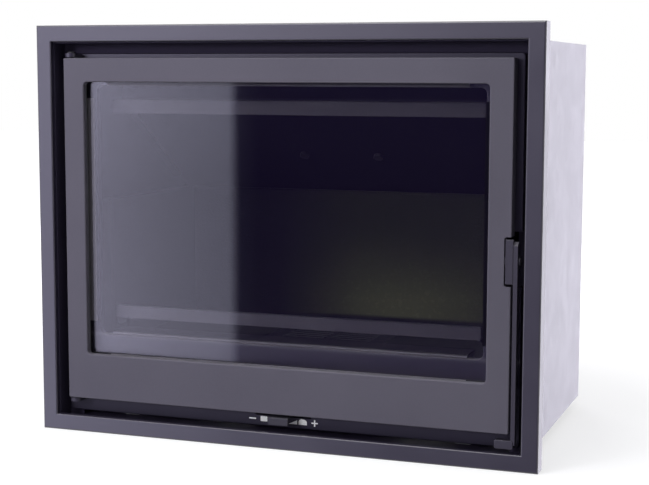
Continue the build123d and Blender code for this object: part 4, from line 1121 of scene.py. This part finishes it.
@dataclass
class Fasteners:
    """Screws that are too small for the solids."""

    head_radius: float = 3.6
    head_height: float = 1.6
    head_sides: int = 20
    edge_share: float = 0.45
    crown_share: float = 0.45
    crown_rise: float = 0.12
    crown_sides: int = 6
    strip_seat: float = -192.5
    side_strips: Rows = ((-286.5, 286.5), (155.0, 293.5, 432.0))
    end_strips: Rows = ((-230.0, -80.0, 80.0, 230.0), (89.0, 475.0))
    casing_seat: float = 524.0
    rear_row: Rows = ((-310.0, -160.0, 160.0, 310.0), (180.0,))
    side_rows: Rows = ((-310.0, 310.0), (-120.0, 30.0))

    def head(self, piece: Piece, place: Point, towards: Point) -> None:
        """Add a pan head with a small hexagon on its crown.

        Args:
            piece: The piece to add to.
            place: The seat, millimetres.
            towards: The way the head stands.
        """
        radius, height = mm(self.head_radius, self.head_height)
        piece.turned(radius, height, mm(*place), towards, self.head_sides, height * self.edge_share)
        crown = Vector(mm(*place)) + Vector(towards) * height
        piece.turned(radius * self.crown_share, height * self.crown_rise, tuple(crown), towards,
                     self.crown_sides)

    def build(self) -> None:
        """Place every set of screws."""
        strips = Piece("retainer_screws")
        for across, heights in (self.side_strips, self.end_strips):
            for x, z in product(across, heights):
                self.head(strips, (x, self.strip_seat, z), (0, 1, 0))
        strips.finish("door", "pin_steel", Coat.STEEL)
        top = Piece("casing_screws")
        for across, depths in (self.rear_row, self.side_rows):
            for x, y in product(across, depths):
                self.head(top, (x, y, self.casing_seat), (0, 0, 1))
        top.finish("insert", "pin_steel", Coat.STEEL)


# ---- Studio ----
@dataclass
class Lamp:
    """One soft lamp."""

    name: str
    place: Point
    aim: Point
    size: Span
    watts: float
    glossy: bool = True

    def build(self) -> None:
        """Hang the lamp."""
        data = bpy.data.lights.new(self.name, "AREA")
        data.shape = "RECTANGLE"
        data.size, data.size_y = self.size
        data.energy = self.watts
        item = linked(self.name, data)
        item.location = self.place
        item.rotation_euler = (Vector(self.aim) - Vector(self.place)).to_track_quat("-Z", "Y").to_euler()
        item.visible_camera = False
        item.visible_glossy = self.glossy


@dataclass
class Card:
    """An upright glowing card that only mirror rays see.

    It faces front (towards is 1) or back (-1). Its stops are places across it from its middle, in metres,
    with the glow's colour there. Its rise is the glow's strength below and above a band of heights.
    """

    name: str
    size: Span
    place: Point
    towards: int
    stops: Stops
    rise: Span = (1.0, 1.0)
    band: Span = (0.06, 0.45)

    def build(self) -> None:
        """Hang the card."""
        mesh = bmesh.new()
        verts = bmesh.ops.create_grid(mesh, x_segments=1, y_segments=1, size=0.5)["verts"]
        bmesh.ops.scale(mesh, vec=(*self.size, 1), verts=verts)
        bmesh.ops.rotate(mesh, cent=(0, 0, 0), matrix=Matrix.Rotation(self.towards * pi / 2, 3, "X"),
                         verts=verts)
        item = placed(self.name, mesh)
        item.location = self.place
        surface = Surface(self.name)
        across, _, height = surface.axes
        colour: object = self.stops[0][1]
        for (start, _), (end, after) in zip(self.stops, self.stops[1:]):
            colour = surface.mix(surface.spread(across, start, end), colour, after)
        seen = surface.direct(surface.add("ShaderNodeLightPath"))
        glow = surface.add("ShaderNodeEmission")
        surface.feed(glow.inputs["Color"], colour)
        surface.feed(glow.inputs["Strength"],
                     surface.times(seen, surface.spread(height, *self.band, *self.rise)))
        surface.show(glow.outputs[0])
        item.data.materials.append(surface.material)
        item.visible_camera = False
        item.visible_diffuse = False
        item.visible_shadow = False


@dataclass
class Studio:
    """Camera, floor, world, lamps and the cards that the glass and the paint mirror."""

    camera_place: Point = (0.6906, -1.9560, 0.4793)
    yaw: float = 19.66
    pitch: float = 6.6
    roll: float = 0.15
    lens: float = 80.35
    sensor: float = 36.0
    far_clip: float = 60.0
    floor_half: float = 9.0
    floor_height: float = -0.0142
    floor_colour: Colour = (0.42, 0.42, 0.44)
    floor_roughness: float = 0.9
    floor_specular: float = 0.1
    floor_reach: Span = (0.5, 1.3)
    floor_glow: Span = (0.66, 1.0)
    white: Colour = (1.0, 1.0, 1.0)
    ambient: float = 0.12
    lamps: tuple[Lamp, ...] = (
        Lamp("key", (-0.4, -1.25, 1.6), (0.0, -0.2, 0.25), (1.2, 0.6), 13.0),
        Lamp("left", (-1.9, -3.2, 1.05), (0.0, -0.2, 0.25), (0.8, 0.8), 46.0, glossy=False),
        Lamp("fill", (1.0, -3.0, 0.6), (0.0, -0.2, 0.2), (1.0, 0.8), 6.0, glossy=False),
        Lamp("right", (2.6, 0.5, 0.9), (0.3, 0.0, 0.25), (1.2, 1.8), 16.0, glossy=False),
        Lamp("top", (0.0, -0.5, 2.4), (0.0, -0.1, 0.3), (1.8, 1.4), 27.0),
        Lamp("back", (-1.2, 2.4, 1.2), (0.0, 0.2, 0.25), (1.6, 1.4), 26.0),
    )
    cards: tuple[Card, ...] = (
        Card("mirrored_wall", (8.0, 5.0), (0.0, -3.0, 0.0), -1, (
            (-2.0, (2.1, 2.04, 2.75)),
            (-1.5, (1.27, 1.24, 1.68)),
            (-1.29, (1.0, 0.98, 1.35)),
            (-1.257, (0.22, 0.2, 0.36)),
            (-1.245, (0.09, 0.075, 0.19)),
            (-1.18, (0.05, 0.034, 0.135)),
        ), (0.98, 1.24)),
        Card("side_card", (0.9, 3.0), (1.05, 2.5, -0.4), 1, ((0.0, (3.5, 3.4, 3.9)),)),
        Card("upper_card", (1.8, 1.15), (-0.8, -2.95, 1.2), -1,
             ((-0.05, (2.5, 2.42, 2.97)), (0.75, (0.6, 0.57, 0.8)))),
    )

    def build_camera(self) -> None:
        """Set up the camera."""
        turn, dip, roll = radians(self.yaw), radians(self.pitch), radians(self.roll)
        ahead = Vector((-sin(turn) * cos(dip), cos(turn) * cos(dip), -sin(dip)))
        right = ahead.cross(Vector((0, 0, 1))).normalized()
        up = right.cross(ahead)
        across = right * cos(roll) + up * sin(roll)
        upward = -right * sin(roll) + up * cos(roll)
        pose = Matrix((across, upward, -ahead)).transposed().to_4x4()
        pose.translation = self.camera_place
        data = bpy.data.cameras.new("camera")
        data.sensor_fit = "HORIZONTAL"
        data.sensor_width = self.sensor
        data.lens = self.lens
        data.clip_end = self.far_clip
        item = linked("camera", data)
        item.matrix_world = pose
        bpy.context.scene.camera = item

    def build_world(self) -> None:
        """White where it's seen, softer where it lights."""
        world = bpy.data.worlds.new("studio")
        bpy.context.scene.world = world
        world.use_nodes = True
        graph = Graph(world.node_tree)
        background = graph.find("BACKGROUND")
        path = graph.add("ShaderNodeLightPath")
        seen = graph.larger(path.outputs["Is Camera Ray"], path.outputs["Is Glossy Ray"])
        seen = graph.larger(seen, path.outputs["Is Transmission Ray"])
        seen = graph.times(seen, graph.direct(path))
        graph.feed(background.inputs["Strength"], graph.spread(seen, 0.0, 1.0, self.ambient, 1.0))
        graph.feed(background.inputs["Color"], self.white)

    def build_floor(self) -> None:
        """Lay the pale floor."""
        mesh = bmesh.new()
        bmesh.ops.create_grid(mesh, x_segments=1, y_segments=1, size=self.floor_half)
        item = placed("floor", mesh)
        item.location = (0, 0, self.floor_height)
        surface = Surface("floor")
        surface.set("Base Color", self.floor_colour)
        surface.set("Roughness", self.floor_roughness)
        surface.set("Specular IOR Level", self.floor_specular)
        path = surface.add("ShaderNodeLightPath")
        far = surface.add("ShaderNodeVectorMath", operation="LENGTH")
        surface.feed(far.inputs[0], surface.place)
        glow = surface.spread(far.outputs["Value"], *self.floor_reach, *self.floor_glow)
        surface.set("Emission Strength", surface.times(path.outputs["Is Camera Ray"], glow))
        surface.set("Emission Color", self.white)
        item.data.materials.append(surface.material)
        item.visible_glossy = False
        item.visible_transmission = False

    def build(self) -> None:
        """Set up the whole studio."""
        scene = bpy.context.scene
        scene.view_settings.view_transform = "Standard"
        self.build_camera()
        self.build_world()
        self.build_floor()
        for item in (*self.cards, *self.lamps):
            item.build()


def main() -> None:
    """Dress the insert and set up the studio."""
    logging.basicConfig(level=logging.INFO, format="%(name)s %(message)s")
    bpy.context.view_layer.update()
    for part in (PaintedNodes(), AirScale(), DoorSeals(), Fasteners(), Studio()):
        part.build()
        LOG.info("%s built", type(part).__name__)


if __name__ == "__main__":
    main()
